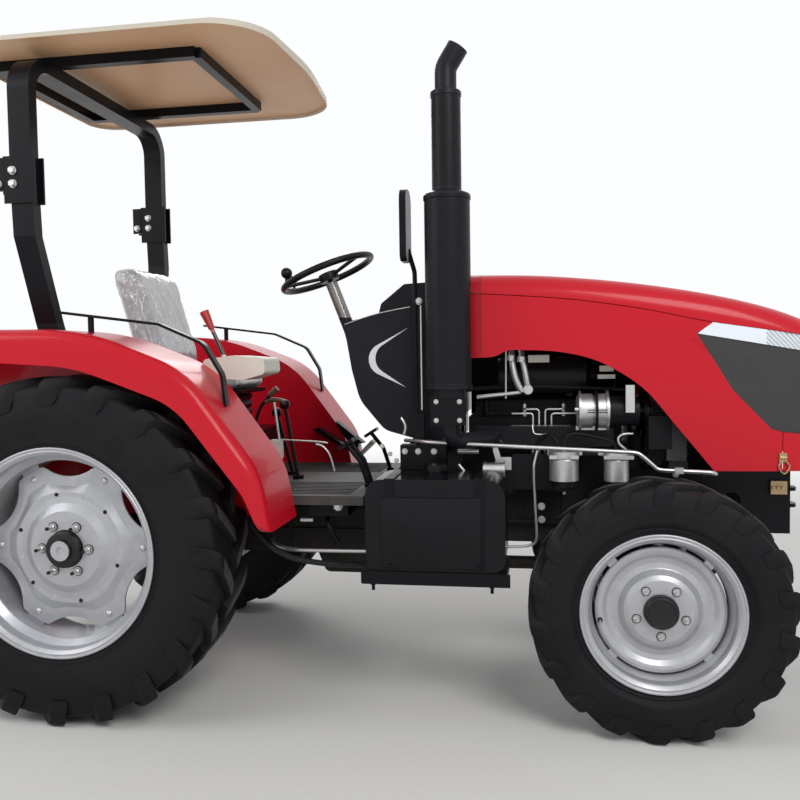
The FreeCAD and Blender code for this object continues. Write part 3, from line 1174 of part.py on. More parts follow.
# Top link: two eyes on screws in a turnbuckle, its front pin through the bracket's ears
top_front = V(top_pivot_x, 0, top_pivot_z)
top_rear = V(top_eye_x, 0, top_eye_z)
top_run = top_rear - top_front
top_way = V(top_run.x, top_run.y, top_run.z).normalize()
ear_in = 26
ear_thick = 16
top_width = 44
near_eye = rod(top_pivot_x, -top_width / 2, top_pivot_z, V(0, 1, 0), 21, top_width)
far_eye, far_hole = eye(top_rear, 24, top_width, top_pin_bore)
top_pin = rod(top_pivot_x, -ear_in - ear_thick - 6, top_pivot_z, V(0, 1, 0), top_pin_bore - 0.1,
              2 * (ear_in + ear_thick + 6))
screw = Part.makeCylinder(11, top_run.Length - 30, top_front + top_way * 15, top_way)
barrel = Part.makeCylinder(18, 300, top_front + top_way * 150, top_way)
parts["top_link"] = fuse(near_eye, far_eye, top_pin, screw, barrel).cut(far_hole)

# Hitch: drawbar, power take-off with its guard, and the top link bracket
drawbar_end = -668
drawbar = slab([(drawbar_end - 38, -38, 38), (drawbar_end - 38, 38, 38), (-100, 38), (-100, -38)], "xy", 400, 430)
drawbar = drawbar.cut(rod(drawbar_end, 0, 390, V(0, 0, 1), 14, 60))
hanger = box(-150, -112, -38, 38, 430, 450 - fit_gap)
axle_back = -230 - fit_gap
take_off = fuse(rod(-330, 0, 580, V(1, 0, 0), 17.5, 100), rod(-250, 0, 580, V(1, 0, 0), 45, 250 + axle_back))
guard = slab([(-85, 560), (-85, 660, 20), (85, 660, 20), (85, 560), (80, 560), (80, 655, 16), (-80, 655, 16),
              (-80, 560)], "yz", -330, axle_back)
guard_plate = box(axle_back - 5, axle_back, -85, 85, 640, 690)
top_ears = []
for y0 in (-ear_in - ear_thick, ear_in):
    top_ears.append(slab([(axle_back, 760), (top_pivot_x - 25, 775, 25), (top_pivot_x - 25, 835, 25),
                          (axle_back, 850)], "xz", y0, y0 + ear_thick))
top_ears.append(box(axle_back - 6, axle_back, -ear_in - ear_thick, ear_in + ear_thick, 765, 845))
bracket = fuse(*top_ears).cut(rod(top_pivot_x, -100, top_pivot_z, V(0, 1, 0), top_pin_bore, 200))
parts["rear_hitch"] = Part.makeCompound([fuse(drawbar, hanger), take_off, fuse(guard, guard_plate), bracket])

length_box = Part.makeCompound(list(parts.values())).BoundBox
middle = (length_box.XMin + length_box.XMax) / 2
print("middle", middle, "length", length_box.XLength)

os.makedirs("parts", exist_ok=True)
for name, shape in parts.items():
    placed = shape.copy()
    placed.translate(V(-middle, 0, 0))
    placed.exportStep("parts/" + name + ".step")
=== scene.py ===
import math

import bmesh
import bpy
from mathutils import Matrix, Vector


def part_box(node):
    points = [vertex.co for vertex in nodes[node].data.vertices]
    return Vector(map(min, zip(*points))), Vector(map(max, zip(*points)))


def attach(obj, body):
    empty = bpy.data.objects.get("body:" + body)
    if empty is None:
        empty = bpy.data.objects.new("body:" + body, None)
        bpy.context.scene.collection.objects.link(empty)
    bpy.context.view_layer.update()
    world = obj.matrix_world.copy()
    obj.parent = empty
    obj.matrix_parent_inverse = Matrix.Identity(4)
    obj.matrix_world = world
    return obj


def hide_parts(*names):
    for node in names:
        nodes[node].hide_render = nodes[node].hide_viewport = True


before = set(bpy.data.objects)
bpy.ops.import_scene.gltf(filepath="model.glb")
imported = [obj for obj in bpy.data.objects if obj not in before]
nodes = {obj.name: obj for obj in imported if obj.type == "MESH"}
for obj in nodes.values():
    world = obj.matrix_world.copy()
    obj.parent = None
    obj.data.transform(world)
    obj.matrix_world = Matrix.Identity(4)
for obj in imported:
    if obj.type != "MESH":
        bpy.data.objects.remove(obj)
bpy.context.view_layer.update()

# Camera. The photograph was taken from the tractor's right side, level with the fender tops and
# close to it, with a wide lens that leans a little to the rear.
def placed(name, data):
    """Object with that data, in the scene."""
    piece = bpy.data.objects.new(name, data)
    bpy.context.scene.collection.objects.link(piece)
    return piece


yaw, pitch, roll = 0.1669, 0.0496, -0.015
photo_width, focal_length = 800, 831.66
stands_at = (0.7562, -3.5094, 1.3102)
ahead = Vector((-math.sin(yaw) * math.cos(pitch), math.cos(yaw) * math.cos(pitch), -math.sin(pitch)))
level = Vector((math.cos(yaw), math.sin(yaw), 0))
over = level.cross(ahead)
camera_right = level * math.cos(roll) + over * math.sin(roll)
camera_up = over * math.cos(roll) - level * math.sin(roll)
lens = bpy.data.cameras.new("camera")
lens.sensor_width = 36
lens.lens = lens.sensor_width * focal_length / photo_width
camera = placed("camera", lens)
turn = Matrix((camera_right, camera_up, -ahead)).transposed().to_4x4()
camera.matrix_world = Matrix.Translation(stands_at) @ turn
bpy.context.scene.camera = camera
bpy.context.scene.view_settings.view_transform = "Standard"


# Studio floor and light. The tractor stands on plain pale floor that runs out to white, under three
# large soft panels and a pale sky, so that painted metal shows a soft upper reflection.
class Shade:
    """Wraps one socket of a material; sums, products and comparisons add Math nodes."""

    def __init__(self, tree, socket=None):
        self.tree = tree
        self.socket = socket

    def node(self, kind, settings, inputs, output=0):
        made = self.tree.nodes.new("ShaderNode" + kind)
        for name, value in settings.items():
            setattr(made, name, value)
        for name, value in inputs.items():
            if isinstance(value, Shade):
                self.tree.links.new(value.socket, made.inputs[name])
            else:
                made.inputs[name].default_value = value
        return Shade(self.tree, made.outputs[output])

    def math(self, operation, *values):
        return self.node("Math", {"operation": operation}, dict(enumerate(values)))

    def __add__(self, other):
        return self.math("ADD", self, other)

    def __radd__(self, other):
        return self.math("ADD", other, self)

    def __sub__(self, other):
        return self.math("SUBTRACT", self, other)

    def __rsub__(self, other):
        return self.math("SUBTRACT", other, self)

    def __mul__(self, other):
        return self.math("MULTIPLY", self, other)

    def __gt__(self, other):
        return self.math("GREATER_THAN", self, other)

    def __lt__(self, other):
        return self.math("LESS_THAN", self, other)

    def mix(self, first, second):
        """Colour between two, with this shade as the share of the second."""
        inputs = {0: self, 6: first, 7: second}
        return self.node("Mix", {"data_type": "RGBA"}, inputs, 2)

    def ramp(self, low, high, kind="LINEAR"):
        """0 up to low, rising to 1 at high."""
        return self.node("MapRange", {"interpolation_type": kind}, {0: self, 1: low, 2: high, 3: 0.0, 4: 1.0})

    def noise(self, size, detail=3.0):
        """Noise over these coordinates, with clouds of about that size in metres."""
        return self.node("TexNoise", {}, {"Vector": self, "Scale": 1 / size, "Detail": detail})

    def waves(self, axis, scale):
        """Soft bands across an axis."""
        return self.node("TexWave", {"wave_type": "BANDS", "bands_direction": axis},
                         {"Vector": self, "Scale": scale})

    def bump(self, distance):
        """Normal for a relief of that height in metres."""
        return self.node("Bump", {}, {"Strength": 1.0, "Distance": distance, "Height": self})

    def xyz(self):
        split = self.tree.nodes.new("ShaderNodeSeparateXYZ")
        self.tree.links.new(self.socket, split.inputs[0])
        return [Shade(self.tree, socket) for socket in split.outputs]


def new_finish(name):
    """Material, its shader, and object coordinates to start its pattern from."""
    material = bpy.data.materials.new(name)
    material.use_nodes = True
    shader = material.node_tree.nodes["Principled BSDF"]
    place = Shade(material.node_tree).node("TexCoord", {}, {}, 3)
    return material, shader, place


def feed(shader, **sockets):
    for name, value in sockets.items():
        socket = shader.inputs[name.replace("_", " ")]
        if isinstance(value, Shade):
            value.tree.links.new(value.socket, socket)
        else:
            socket.default_value = value


material, shader, place = new_finish("studio_floor")
plain_to, white_from = 3.2, 9.0
far = place.node("VectorMath", {"operation": "LENGTH"}, {0: place}, 1)
fade = far.ramp(plain_to, white_from, "SMOOTHSTEP")
grain = place.noise(0.02)
feed(shader, Base_Color=grain.mix((0.80, 0.79, 0.77, 1), (0.86, 0.85, 0.83, 1)), Roughness=0.85)
glow = fade.node("Emission", {}, {"Color": (1, 1, 1, 1), "Strength": 1.0})
blend = fade.node("MixShader", {}, {0: fade, 2: glow})
material.node_tree.links.new(shader.outputs[0], blend.socket.node.inputs[1])
output = material.node_tree.nodes["Material Output"]
material.node_tree.links.new(blend.socket, output.inputs[0])
floor = bmesh.new()
bmesh.ops.create_circle(floor, cap_ends=True, segments=96, radius=60)
floor_mesh = bpy.data.meshes.new("floor")
floor.to_mesh(floor_mesh)
floor_mesh.materials.append(material)
placed("floor", floor_mesh)

world = bpy.data.worlds.new("studio")
bpy.context.scene.world = world
world.use_nodes = True
sky = world.node_tree.nodes["Background"]
tree = Shade(world.node_tree)
shown = tree.node("LightPath", {}, {}, "Is Camera Ray")
for ray in ("Is Glossy Ray", "Is Transmission Ray"):
    shown = shown.math("MAXIMUM", shown, tree.node("LightPath", {}, {}, ray))
as_light, as_backdrop = 0.40, 0.60
strength = as_light + shown * as_backdrop
world.node_tree.links.new(strength.socket, sky.inputs["Strength"])
sky.inputs["Color"].default_value = (0.97, 0.985, 1.0, 1)


def panel_light(name, place, target, width, power):
    light = bpy.data.lights.new(name, "AREA")
    light.size = width
    light.energy = power
    panel = placed(name, light)
    aim = Vector(target) - Vector(place)
    panel.matrix_world = Matrix.Translation(place) @ aim.to_track_quat("-Z", "Y").to_matrix().to_4x4()


panel_light("key", (3.2, -5.0, 5.2), (0.2, 0, 0.9), 3.0, 215)
panel_light("fill", (-4.5, -3.0, 3.6), (0, 0, 0.9), 3.0, 70)
panel_light("back", (-1.5, 5.0, 4.8), (0, 0, 1.0), 3.0, 110)


# Cast housings: clutch and gear case, rear axle with its lift, front axle and knuckles, all of grey
# iron with the fine bumps of the sand mould, sprayed black and dusty low down. Bolted at flanges.
def finish(name, colour, roughness, metallic=0.0, coat=0.0, vary=0.25, cloud=0.05, bump=0.0,
           bump_size=0.002, dust=0.0, shine=0.5):
    """Finish with clouded colour and gloss, fine bumps, and dust that thins out upwards."""
    material, shader, place = new_finish(name)
    clouds = place.noise(cloud, 4.0)
    low = tuple(c * (1 - vary) for c in colour) + (1,)
    high = tuple(min(1, c * (1 + vary)) for c in colour) + (1,)
    tint = clouds.mix(low, high)
    gloss = clouds * 0.14 + (roughness - 0.07)
    if dust:
        height = place.xyz()[2]
        settled = place.noise(0.03, 6.0) * (1.0 - height.math("MINIMUM", height, 1.0)) * dust
        tint = settled.mix(tint, (0.30, 0.25, 0.19, 1))
        gloss = gloss + settled * 0.5
    feed(shader, Base_Color=tint, Roughness=gloss, Metallic=metallic, Coat_Weight=coat, Coat_Roughness=0.08,
         Specular_IOR_Level=shine)
    if bump:
        feed(shader, Normal=place.noise(bump_size, 2.0).bump(bump))
    return material


def dress(material, *names):
    for name in names:
        for slot in nodes[name].material_slots:
            slot.material = material


casting = finish("black_cast_iron", (0.008, 0.008, 0.010), 0.46, bump=0.0005, bump_size=0.003, dust=0.25,
                 shine=0.12)
dress(casting, "transmission", "rear_axle", "front_axle", "knuckle_l", "knuckle_r", "engine",
      "lift_arms", "rear_hitch", "lower_links", "track_rod", "drive_shaft")
zinc = finish("zinc_plate", (0.55, 0.55, 0.54), 0.33, metallic=0.85, vary=0.15, cloud=0.01)


def mm(x, y, z):
    """Point from drawing sizes in millimetres, X from the rear axle."""
    return Vector((x / 1000, y / 1000, z / 1000)) + Vector((rear_axle_x, 0, 0))


wheel_low, wheel_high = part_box("rear_wheel_l")
rear_axle_x = (wheel_low.x + wheel_high.x) / 2


def fit(name, shape, material, body="chassis", replaces=(), sharp=38):
    """Piece from a bmesh or a mesh, shaded smooth up to an angle, that rides a body."""
    mesh = shape
    if isinstance(shape, bmesh.types.BMesh):
        bmesh.ops.recalc_face_normals(shape, faces=shape.faces)
        mesh = bpy.data.meshes.new(name)
        shape.to_mesh(mesh)
        shape.free()
    mesh.name = name
    mesh.materials.clear()
    mesh.materials.append(material)
    mesh.shade_smooth()
    mesh.set_sharp_from_angle(angle=math.radians(sharp))
    piece = placed(name, mesh)
    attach(piece, body)
    if replaces:
        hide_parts(*replaces)


def facing(place, direction):
    """Matrix that moves a shape made along Z to a place, pointing in a direction."""
    return Matrix.Translation(place) @ Vector(direction).to_track_quat("Z", "Y").to_matrix().to_4x4()


def cone(bm, turn, foot, top, length, segments=16):
    """Cone or cylinder round the middle of a placed and turned Z axis."""
    bmesh.ops.create_cone(bm, cap_ends=True, segments=segments, radius1=foot, radius2=top, depth=length,
                          matrix=turn)


def bolt(bm, place, direction, across):
    """Hexagon bolt head with a chamfer, on a washer."""
    turn = facing(place, direction)
    radius = across / 2
    washer, head, chamfer = radius * 0.24, radius * 0.9, radius * 0.2
    for low, length, foot, top, segments in ((0, washer, 1.35, 1.3, 20), (washer, head, 1.15, 1.15, 6),
                                             (washer + head, chamfer, 0.98, 0.8, 16)):
        middle = turn @ Matrix.Translation((0, 0, low + length / 2))
        cone(bm, middle, radius * foot, radius * top, length, segments)


def ring_of(count, centre, axis, radius, first=0.0):
    """Places evenly round an axis."""
    turn = facing(centre, axis)
    spots = []
    for i in range(count):
        angle = first + 2 * math.pi * i / count
        spots.append(turn @ Vector((radius * math.cos(angle), radius * math.sin(angle), 0)))
    return spots


bolts = bmesh.new()
for z in (620, 700, 780, 860, 930):
    for side in (-1, 1):
        bolt(bolts, mm(1180, side * 221, z), (-1, 0, 0), 0.017)
for side in (-1, 1):
    for spot in ring_of(8, mm(302, 0, 650), (1, 0, 0), 0.21, 0.2):
        if spot.z < 0.84:
            bolt(bolts, spot, (1, 0, 0), 0.016)
    for spot in ring_of(8, mm(0, side * 251, 635), (0, side, 0), 0.101):
        bolt(bolts, spot, (0, side, 0), 0.018)
    for spot in ring_of(6, mm(570, side * 153, 640), (0, side, 0), 0.048):
        bolt(bolts, spot, (0, side, 0), 0.012)
    for spot in ring_of(6, mm(2110, side * 98, 445), (0, side, 0), 0.058):
        bolt(bolts, spot, (0, side, 0), 0.012)
    for z in (283, 607):
        away = (0, 0, -1 if z < 445 else 1)
        for spot in ring_of(4, mm(2110, side * 440, z), away, 0.032, 0.8):
            bolt(bolts, spot, away, 0.012)
for x in (-180, -80, 20):
    for side in (-1, 1):
        bolt(bolts, mm(x, side * 110, 985), (0, 0, 1), 0.018)
fit("housing_bolts", bolts, casting)


# Engine trim: manifolds and belt are black, the generator, filters and injection pipes are bare
# aluminium and plated steel. All hang on the block, clear of the side panels.
def within(place, low, high):
    """1 inside a box that is given by two drawing corners, and 0 outside."""
    inside = None
    for axis, (start, end) in zip(place.xyz(), zip(mm(*low), mm(*high))):
        part = (axis > start) * (axis < end)
        inside = part if inside is None else inside * part
    return inside


material, shader, place = new_finish("engine_trim")
bright = None
generator_box = ((1848, -330, 1025), (1972, -170, 1180))
filter_boxes = ((1740, -365, 838), (1870, -243, 953)), ((1930, -365, 838), (2050, -250, 953))
delivery_boxes = ((1600, -240, 930.4), (1830, -95, 1115)), ((1600, -180, 955), (2010, -95, 1120))
throttle_box = ((1530, -270, 870), (1600, -250, 975))
for low, high in (generator_box, *filter_boxes, *delivery_boxes, throttle_box):
    mask = within(place, low, high)
    bright = mask if bright is None else bright.math("MAXIMUM", bright, mask)
clouds = place.noise(0.012, 4.0)
dark = clouds.mix((0.006, 0.006, 0.008, 1), (0.013, 0.013, 0.016, 1))
pale = clouds.mix((0.48, 0.48, 0.47, 1), (0.68, 0.68, 0.67, 1))
feed(shader, Base_Color=bright.mix(dark, pale), Metallic=bright * 0.8, Roughness=clouds * 0.12 + 0.32)
feed(shader, Specular_IOR_Level=0.15, Normal=place.noise(0.0025).bump(0.0003))
dress(material, "engine_fittings")

rubber_hose = finish("rubber_hose", (0.008, 0.008, 0.009), 0.55, vary=0.3, cloud=0.02, shine=0.2)
braid, shader, place = new_finish("steel_braid")
weave = place.node("TexChecker", {}, {"Vector": place, "Scale": 420.0}, 1)
feed(shader, Base_Color=weave.mix((0.30, 0.30, 0.30, 1), (0.66, 0.66, 0.66, 1)), Metallic=0.8, Roughness=0.35)


def pipe(name, points, radius, material, body="chassis"):
    """Fixed pipe or hose along a smooth line through drawing points."""
    curve = bpy.data.curves.new(name, "CURVE")
    curve.dimensions = "3D"
    curve.bevel_depth = radius
    curve.bevel_resolution = 5
    curve.use_fill_caps = True
    line = curve.splines.new("NURBS")
    line.points.add(len(points) - 1)
    for point, spot in zip(line.points, points):
        point.co = (*mm(*spot), 1)
    line.order_u = 3
    line.use_endpoint_u = True
    line.resolution_u = 10
    curve.materials.append(material)
    piece = placed(name, curve)
    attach(piece, body)


pipe("fuel_hose_front", [(1800, -302, 951), (1800, -302, 1000), (1840, -290, 1020), (1930, -280, 1000),
                         (1994, -302, 985), (1994, -302, 951)], 0.006, rubber_hose)
pipe("fuel_hose_pump", [(1780, -302, 951), (1775, -302, 1000), (1730, -280, 1010), (1690, -250, 960),
                        (1690, -236, 905)], 0.006, rubber_hose)
pipe("steering_pipe", [(1190, -300, 990), (1250, -380, 996), (1300, -418, 994), (1395, -420, 990),
                       (1789, -420, 972), (2030, -420, 960), (2055, -420, 958), (2073, -420, 949),
                       (2116, -420, 909), (2128, -420, 898), (2150, -420, 895), (2280, -420, 890),
                       (2319, -420, 888), (2335, -405, 880), (2335, -300, 870), (2330, -200, 850)],
     0.0075, zinc)
pipe("wiring_loom", [(1410, -160, 1180), (1600, -172, 1195), (1800, -172, 1190), (1990, -180, 1180),
                     (2060, -210, 1175)], 0.009, rubber_hose)

# Oil lines of the lift pump and the fittings round them, on the engine's right side: braided
# hoses in crimped ends, a banjo with its washers, a stay, and thin plated sender lines
pipe("oil_hose_a", [(1600, -240, 1350), (1606, -262, 1300), (1612, -268, 1255), (1624, -268, 1210),
                    (1645, -262, 1176)], 0.013, braid)
pipe("oil_hose_b", [(1638, -240, 1350), (1645, -262, 1300), (1656, -268, 1255), (1662, -268, 1215),
                    (1667, -262, 1190)], 0.012, braid)
pipe("stay_rod", [(1583, -262, 1345), (1582, -262, 1250), (1581, -262, 1150)], 0.004, zinc)
pipe("return_tube", [(1470, -262, 1155), (1495, -262, 1158), (1616, -262, 1171), (1640, -262, 1174)], 0.008,
     zinc)
pipe("hook_wire", [(2052, -318, 1018), (2020, -330, 1020), (2000, -330, 1008), (1997, -330, 992),
                   (2005, -330, 976), (2024, -330, 963), (2034, -322, 950)], 0.0045, zinc)
pipe("drain_rod", [(1800, -302, 840), (1800, -302, 812), (1800, -302, 785)], 0.007, zinc)
pipe("vent_pipe", [(1700, -290, 950), (1688, -300, 905), (1686, -300, 873), (1690, -300, 735),
                   (1697, -300, 625), (1690, -300, 590), (1646, -300, 578), (1560, -300, 577)], 0.0055, zinc)
pipe("sender_line", [(1479, -300, 990), (1490, -305, 1006), (1520, -305, 1012), (1547, -300, 1006),
                     (1565, -270, 980)], 0.003, zinc)
pipe("pump_line", [(1683, -290, 1050), (1684, -300, 1025), (1692, -302, 1014), (1725, -300, 1014),
                   (1735, -260, 1014)], 0.003, zinc)


def cube(bm, centre, size):
    bmesh.ops.create_cube(bm, size=1, matrix=Matrix.Translation(centre) @ Matrix.Diagonal((*size, 1)))


def soften(bm, edges, offset, segments=3):
    """Rounds edges off."""
    bmesh.ops.bevel(bm, geom=edges, offset=offset, offset_type="OFFSET", segments=segments, profile=0.5,
                    affect="EDGES", material=-1)


def block(bm, low, high):
    """Box between two drawing corners."""
    start, end = mm(*low), mm(*high)
    cube(bm, (start + end) / 2, end - start)


def drum(bm, place, direction, radius, length, segments=32):
    """Cylinder from a place along a direction."""
    middle = facing(place, direction) @ Matrix.Translation((0, 0, length / 2))
    cone(bm, middle, radius, radius, length, segments)


ahead_x, out_right, down = Vector((1, 0, 0)), Vector((0, -1, 0)), Vector((0, 0, -1))
bright_bits = bmesh.new()
for radius, length in ((0.018, 0.020), (0.0125, 0.028), (0.007, 0.034)):
    drum(bright_bits, mm(1667, -255, 1184), out_right, radius, length)
for x in (1600, 1640):
    drum(bright_bits, mm(x, -262, 1296 if x < 1620 else 1290), (0.1, 0, 1), 0.016, 0.022)
for x in (1858, 1960):
    drum(bright_bits, mm(x, -250, 1100), ahead_x, 0.0775, 0.008, 48)
drum(bright_bits, mm(1841, -322, 1110), ahead_x, 0.008, 0.014)
block(bright_bits, (2026, -331, 1098), (2058, -322, 1200))
block(bright_bits, (2186, -432, 884), (2216, -411, 906))
drum(bright_bits, mm(1400, -345, 953), ahead_x, 0.009, 0.080)
drum(bright_bits, mm(1497, -345, 884), ahead_x, 0.026, 0.082)
for x in (1500, 1572):
    drum(bright_bits, mm(x, -345, 884), ahead_x, 0.029, 0.006)
for z in (727, 675):
    bolt(bright_bits, mm(1715, -245, z), (0, -1, 0), 0.022)
for x in (1745, 1945):
    block(bright_bits, (x, -352, 925), (x + 108, -255, 939))
    drum(bright_bits, mm(x + 55, -302, 939), (0, 0, 1), 0.010, 0.016)
fit("engine_bright_fittings", bright_bits, zinc)
pale = finish("pale_plastic", (0.62, 0.60, 0.54), 0.45, vary=0.1)
pale_bits = bmesh.new()
block(pale_bits, (1668, -262, 1288), (1748, -215, 1316))
block(pale_bits, (1931, -235, 1222), (1996, -222, 1238))
block(pale_bits, (1938, -235, 1250), (1990, -222, 1272))
fit("wiring_plugs", pale_bits, pale)
black_bits_and_shade_sheets = bmesh.new()
drum(black_bits_and_shade_sheets, mm(1919, -250, 1100), ahead_x, 0.0772, 0.009, 48)
for z in (1096, 1106):
    block(black_bits_and_shade_sheets, (1888, -330, z), (1960, -326, z + 3))
block(black_bits_and_shade_sheets, (2112, -300, 958), (2196, -240, 1082))
# Plain black sheets on the hidden left side are painted shade: they stand where that side is only in shadow,
# and are no parts
block(black_bits_and_shade_sheets, (1408, 214, 1060), (2125, 219, 1348))
block(black_bits_and_shade_sheets, (2196, 186, 862), (2430, 191, 966))
fit("engine_black_fittings_and_painted_shade", black_bits_and_shade_sheets, casting)

# Radiator with its fins and black tanks on the front frame, and the pressed fan inside its cowl
black_metal = finish("satin_black_steel", (0.006, 0.006, 0.008), 0.30, vary=0.2, cloud=0.08, shine=0.13)
fins, shader, place = new_finish("radiator_core")
lines = place.waves("Y", 90.0)
feed(shader, Base_Color=lines.mix((0.02, 0.02, 0.02, 1), (0.10, 0.10, 0.10, 1)), Metallic=0.5, Roughness=0.5)
dress(fins, "radiator")
black_plastic = finish("black_moulding", (0.007, 0.007, 0.009), 0.42, vary=0.15, bump=0.0003,
                       bump_size=0.0015, shine=0.12)
dress(black_plastic, "fan")

# Front frame: laser-cut side plates in black enamel, welded to the front plate and bolted to the
# engine; trays, rails, roll bar and mirror stay have the same enamel
dress(black_metal, "front_frame", "bulkhead", "side_trays", "grab_rails", "roll_bar_legs",
      "roll_bar_hoop", "shade_frame", "mirror", "seat_base", "foot_controls")
frame_bolts = bmesh.new()
for side in (-1, 1):
    for x, z in ((1985, 705), (1985, 765), (2025, 705), (2025, 765), (2225, 850)):
        bolt(frame_bolts, mm(x, side * 196, z), (0, side, 0), 0.019)
fit("frame_bolts", frame_bolts, zinc)

# Roll bar splices: folding ears of 8 mm plate in the same enamel, welded to each leg's plates, with
# three plated bolts right through leg and hoop
ears, splice_bolts = bmesh.new(), bmesh.new()
for side in (-1, 1):
    for face, out in ((590, side), (524, -side)):
        y = side * face
        block(ears, (-346, min(y, y - out * 8), 1972), (-300, max(y, y - out * 8), 2098))
        for x, z in ((-262, 2048), (-262, 1998), (-324, 1998)):
            bolt(splice_bolts, mm(x, y, z), (0, out, 0), 0.024)
fit("splice_ears", ears, black_metal)
fit("splice_bolts", splice_bolts, zinc)

# Fuel tank: pressed black plastic with a mould seam, held by steel straps in its cradle
tank_finish = finish("tank_plastic", (0.005, 0.005, 0.007), 0.20, vary=0.2, cloud=0.12, shine=0.2)
dress(tank_finish, "fuel_tank")
dress(black_plastic, "battery_box")
strap_bolts = bmesh.new()
for x in (1180, 1500):
    bolt(strap_bolts, mm(x, -625, 575), (0, -1, 0), 0.012)
for x in (1110, 1240, 1370, 1500, 1570):
    bolt(strap_bolts, mm(x, -625, 532), (0, -1, 0), 0.010)
for x in (1114, 1541):
    bolt(strap_bolts, mm(x, -600, 508), (0, 0, -1), 0.018)
    drum(strap_bolts, mm(x, -600, 508), down, 0.006, 0.030)
fit("strap_bolts", strap_bolts, black_metal)
tank_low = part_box("fuel_tank")[0]
tank_face = bmesh.new()
cube(tank_face, (mm(1327, 0, 0).x, tank_low.y - 0.003, 0.692), (0.358, 0.008, 0.252))
soften(tank_face, tank_face.edges[:], 0.0028)
fit("tank_face", tank_face, tank_finish)
tray_bar = bmesh.new()
cube(tray_bar, (mm(1342, 0, 0).x, tank_low.y - 0.008, 0.530), (0.528, 0.006, 0.046))
fit("tray_bar", tray_bar, black_metal)

# Operator platform: pressed steel with a ribbed black rubber mat glued on top
mat, shader, place = new_finish("platform_mat")
ribs = place.waves("Y", 26.0)
worn = place.noise(0.05, 5.0)
feed(shader, Base_Color=worn.mix((0.020, 0.020, 0.020, 1), (0.075, 0.070, 0.065, 1)), Roughness=0.62)
feed(shader, Normal=ribs.bump(0.0015))
dress(mat, "platform")

# Under and on the platform: plated brake rods, a ribbed hose along the gear case, brake linkage with
# its black cylinders, gear lever with a T grip, and the folded step bracket at the left fender
pipe("brake_rod", [(640, -300, 585), (700, -440, 580), (900, -450, 580), (1085, -450, 583)], 0.0075, zinc)
ribbed, shader, place = new_finish("ribbed_hose")
rings = place.waves("X", 45.0)
feed(shader, Base_Color=rings.mix((0.006, 0.006, 0.006, 1), (0.035, 0.035, 0.035, 1)), Roughness=0.5)
feed(shader, Normal=rings.bump(0.003))
pipe("ribbed_hose", [(560, -300, 640), (666, -440, 596), (757, -450, 548), (903, -450, 528),
                     (1051, -450, 528), (1090, -450, 532)], 0.011, ribbed)
pipe("platform_stay", [(889, -300, 720), (900, -440, 700), (920, -450, 660), (950, -445, 611)], 0.009,
     black_metal)
linkage = bmesh.new()
block(linkage, (836, -452, 716), (990, -300, 800))
block(linkage, (1231, -366, 985), (1274, -340, 1100))
block(linkage, (1180, -366, 884), (1357, -300, 978))
block(linkage, (1318, -516, 1066), (1448, -506, 1168))
fit("linkage_brackets", linkage, black_metal)
plated = bmesh.new()
bolt(plated, mm(952, -452, 753), (0, -1, 0), 0.026)
drum(plated, mm(800, -440, 697), ahead_x, 0.008, 0.050)
for x, z in ((1198, 966), (1311, 966), (1250, 966)):
    bolt(plated, mm(x, -366, z - 12), (0, -1, 0), 0.018)
for x, z in ((1340, 1152), (1425, 1152), (1340, 1084), (1425, 1084)):
    bolt(plated, mm(x, -516, z), (0, -1, 0), 0.014)
for x in (1110, 1140, 1165):
    bolt(plated, mm(x, -366, 2084 - x), (0, -1, 0), 0.014)
fit("linkage_bolts", plated, zinc)
pipe("brake_clip", [(1186, -368, 1083), (1199, -370, 1066), (1204, -368, 1043), (1196, -366, 1020)], 0.006,
     zinc)
pipe("brake_link", [(1405, -368, 905), (1425, -370, 880), (1444, -366, 858)], 0.006, zinc)
pipe("lever_stem", [(650, -200, 900), (646, -200, 963), (634, -200, 1060), (625, -200, 1140)], 0.0055, zinc)
brown_grip = finish("brown_grip", (0.10, 0.045, 0.025), 0.4, vary=0.2, coat=0.2)
pipe("lever_grip", [(588, -200, 1138), (600, -200, 1145), (627, -200, 1148), (655, -200, 1145),
                    (667, -200, 1138)], 0.010, brown_grip)
pipe("range_lever", [(540, -200, 1040), (555, -200, 1107), (600, -200, 1160), (632, -200, 1192)], 0.007,
     black_metal)
pipe("range_grip", [(606, -200, 1167), (620, -200, 1180), (640, -200, 1196)], 0.012, brown_grip)
pipe("lock_rod", [(640, -200, 982), (740, -200, 977), (827, -200, 973), (850, -200, 968)], 0.0035, zinc)
pipe("lock_lever", [(800, -200, 962), (820, -200, 962), (848, -200, 938), (866, -200, 900), (876, -200, 852)],
     0.0045, zinc)
lever_base = bmesh.new()
block(lever_base, (611, -218, 905), (655, -182, 982))
fit("lever_base", lever_base, pale)


def cut_plate(bm, outline, y, thick):
    """Plate of an outline in drawing (x, z), thickened across to the left."""
    ring = [bm.verts.new(mm(x, y, z)) for x, z in outline]
    plate = bmesh.ops.contextual_create(bm, geom=ring)["faces"]
    raised = bmesh.ops.extrude_face_region(bm, geom=plate)
    bmesh.ops.translate(bm, verts=[v for v in raised["geom"] if isinstance(v, bmesh.types.BMVert)],
                        vec=(0, thick, 0))


step_plate = bmesh.new()
for outline in ([(733, 1011), (868, 904), (831, 858), (820, 868), (846, 904), (735, 992)],
                [(611, 972), (640, 980), (812, 868), (831, 854), (743, 905), (700, 918)]):
    cut_plate(step_plate, outline, 418, 0.06)
fit("step_bracket", step_plate, black_metal)
flap = bmesh.new()
cut_plate(flap, ((827, 837), (908, 921), (922, 905), (838, 826)), 410, 0.07)
fit("step_flap", flap, pale)

# Rear fenders: pressed steel with a rolled edge, in red enamel under clear lacquer
red = finish("red_enamel", (0.58, 0.007, 0.020), 0.30, vary=0.05, cloud=0.6, coat=0.2, bump=0.00006,
             bump_size=0.006, shine=0.15)
dress(red, "fender_l", "fender_r")

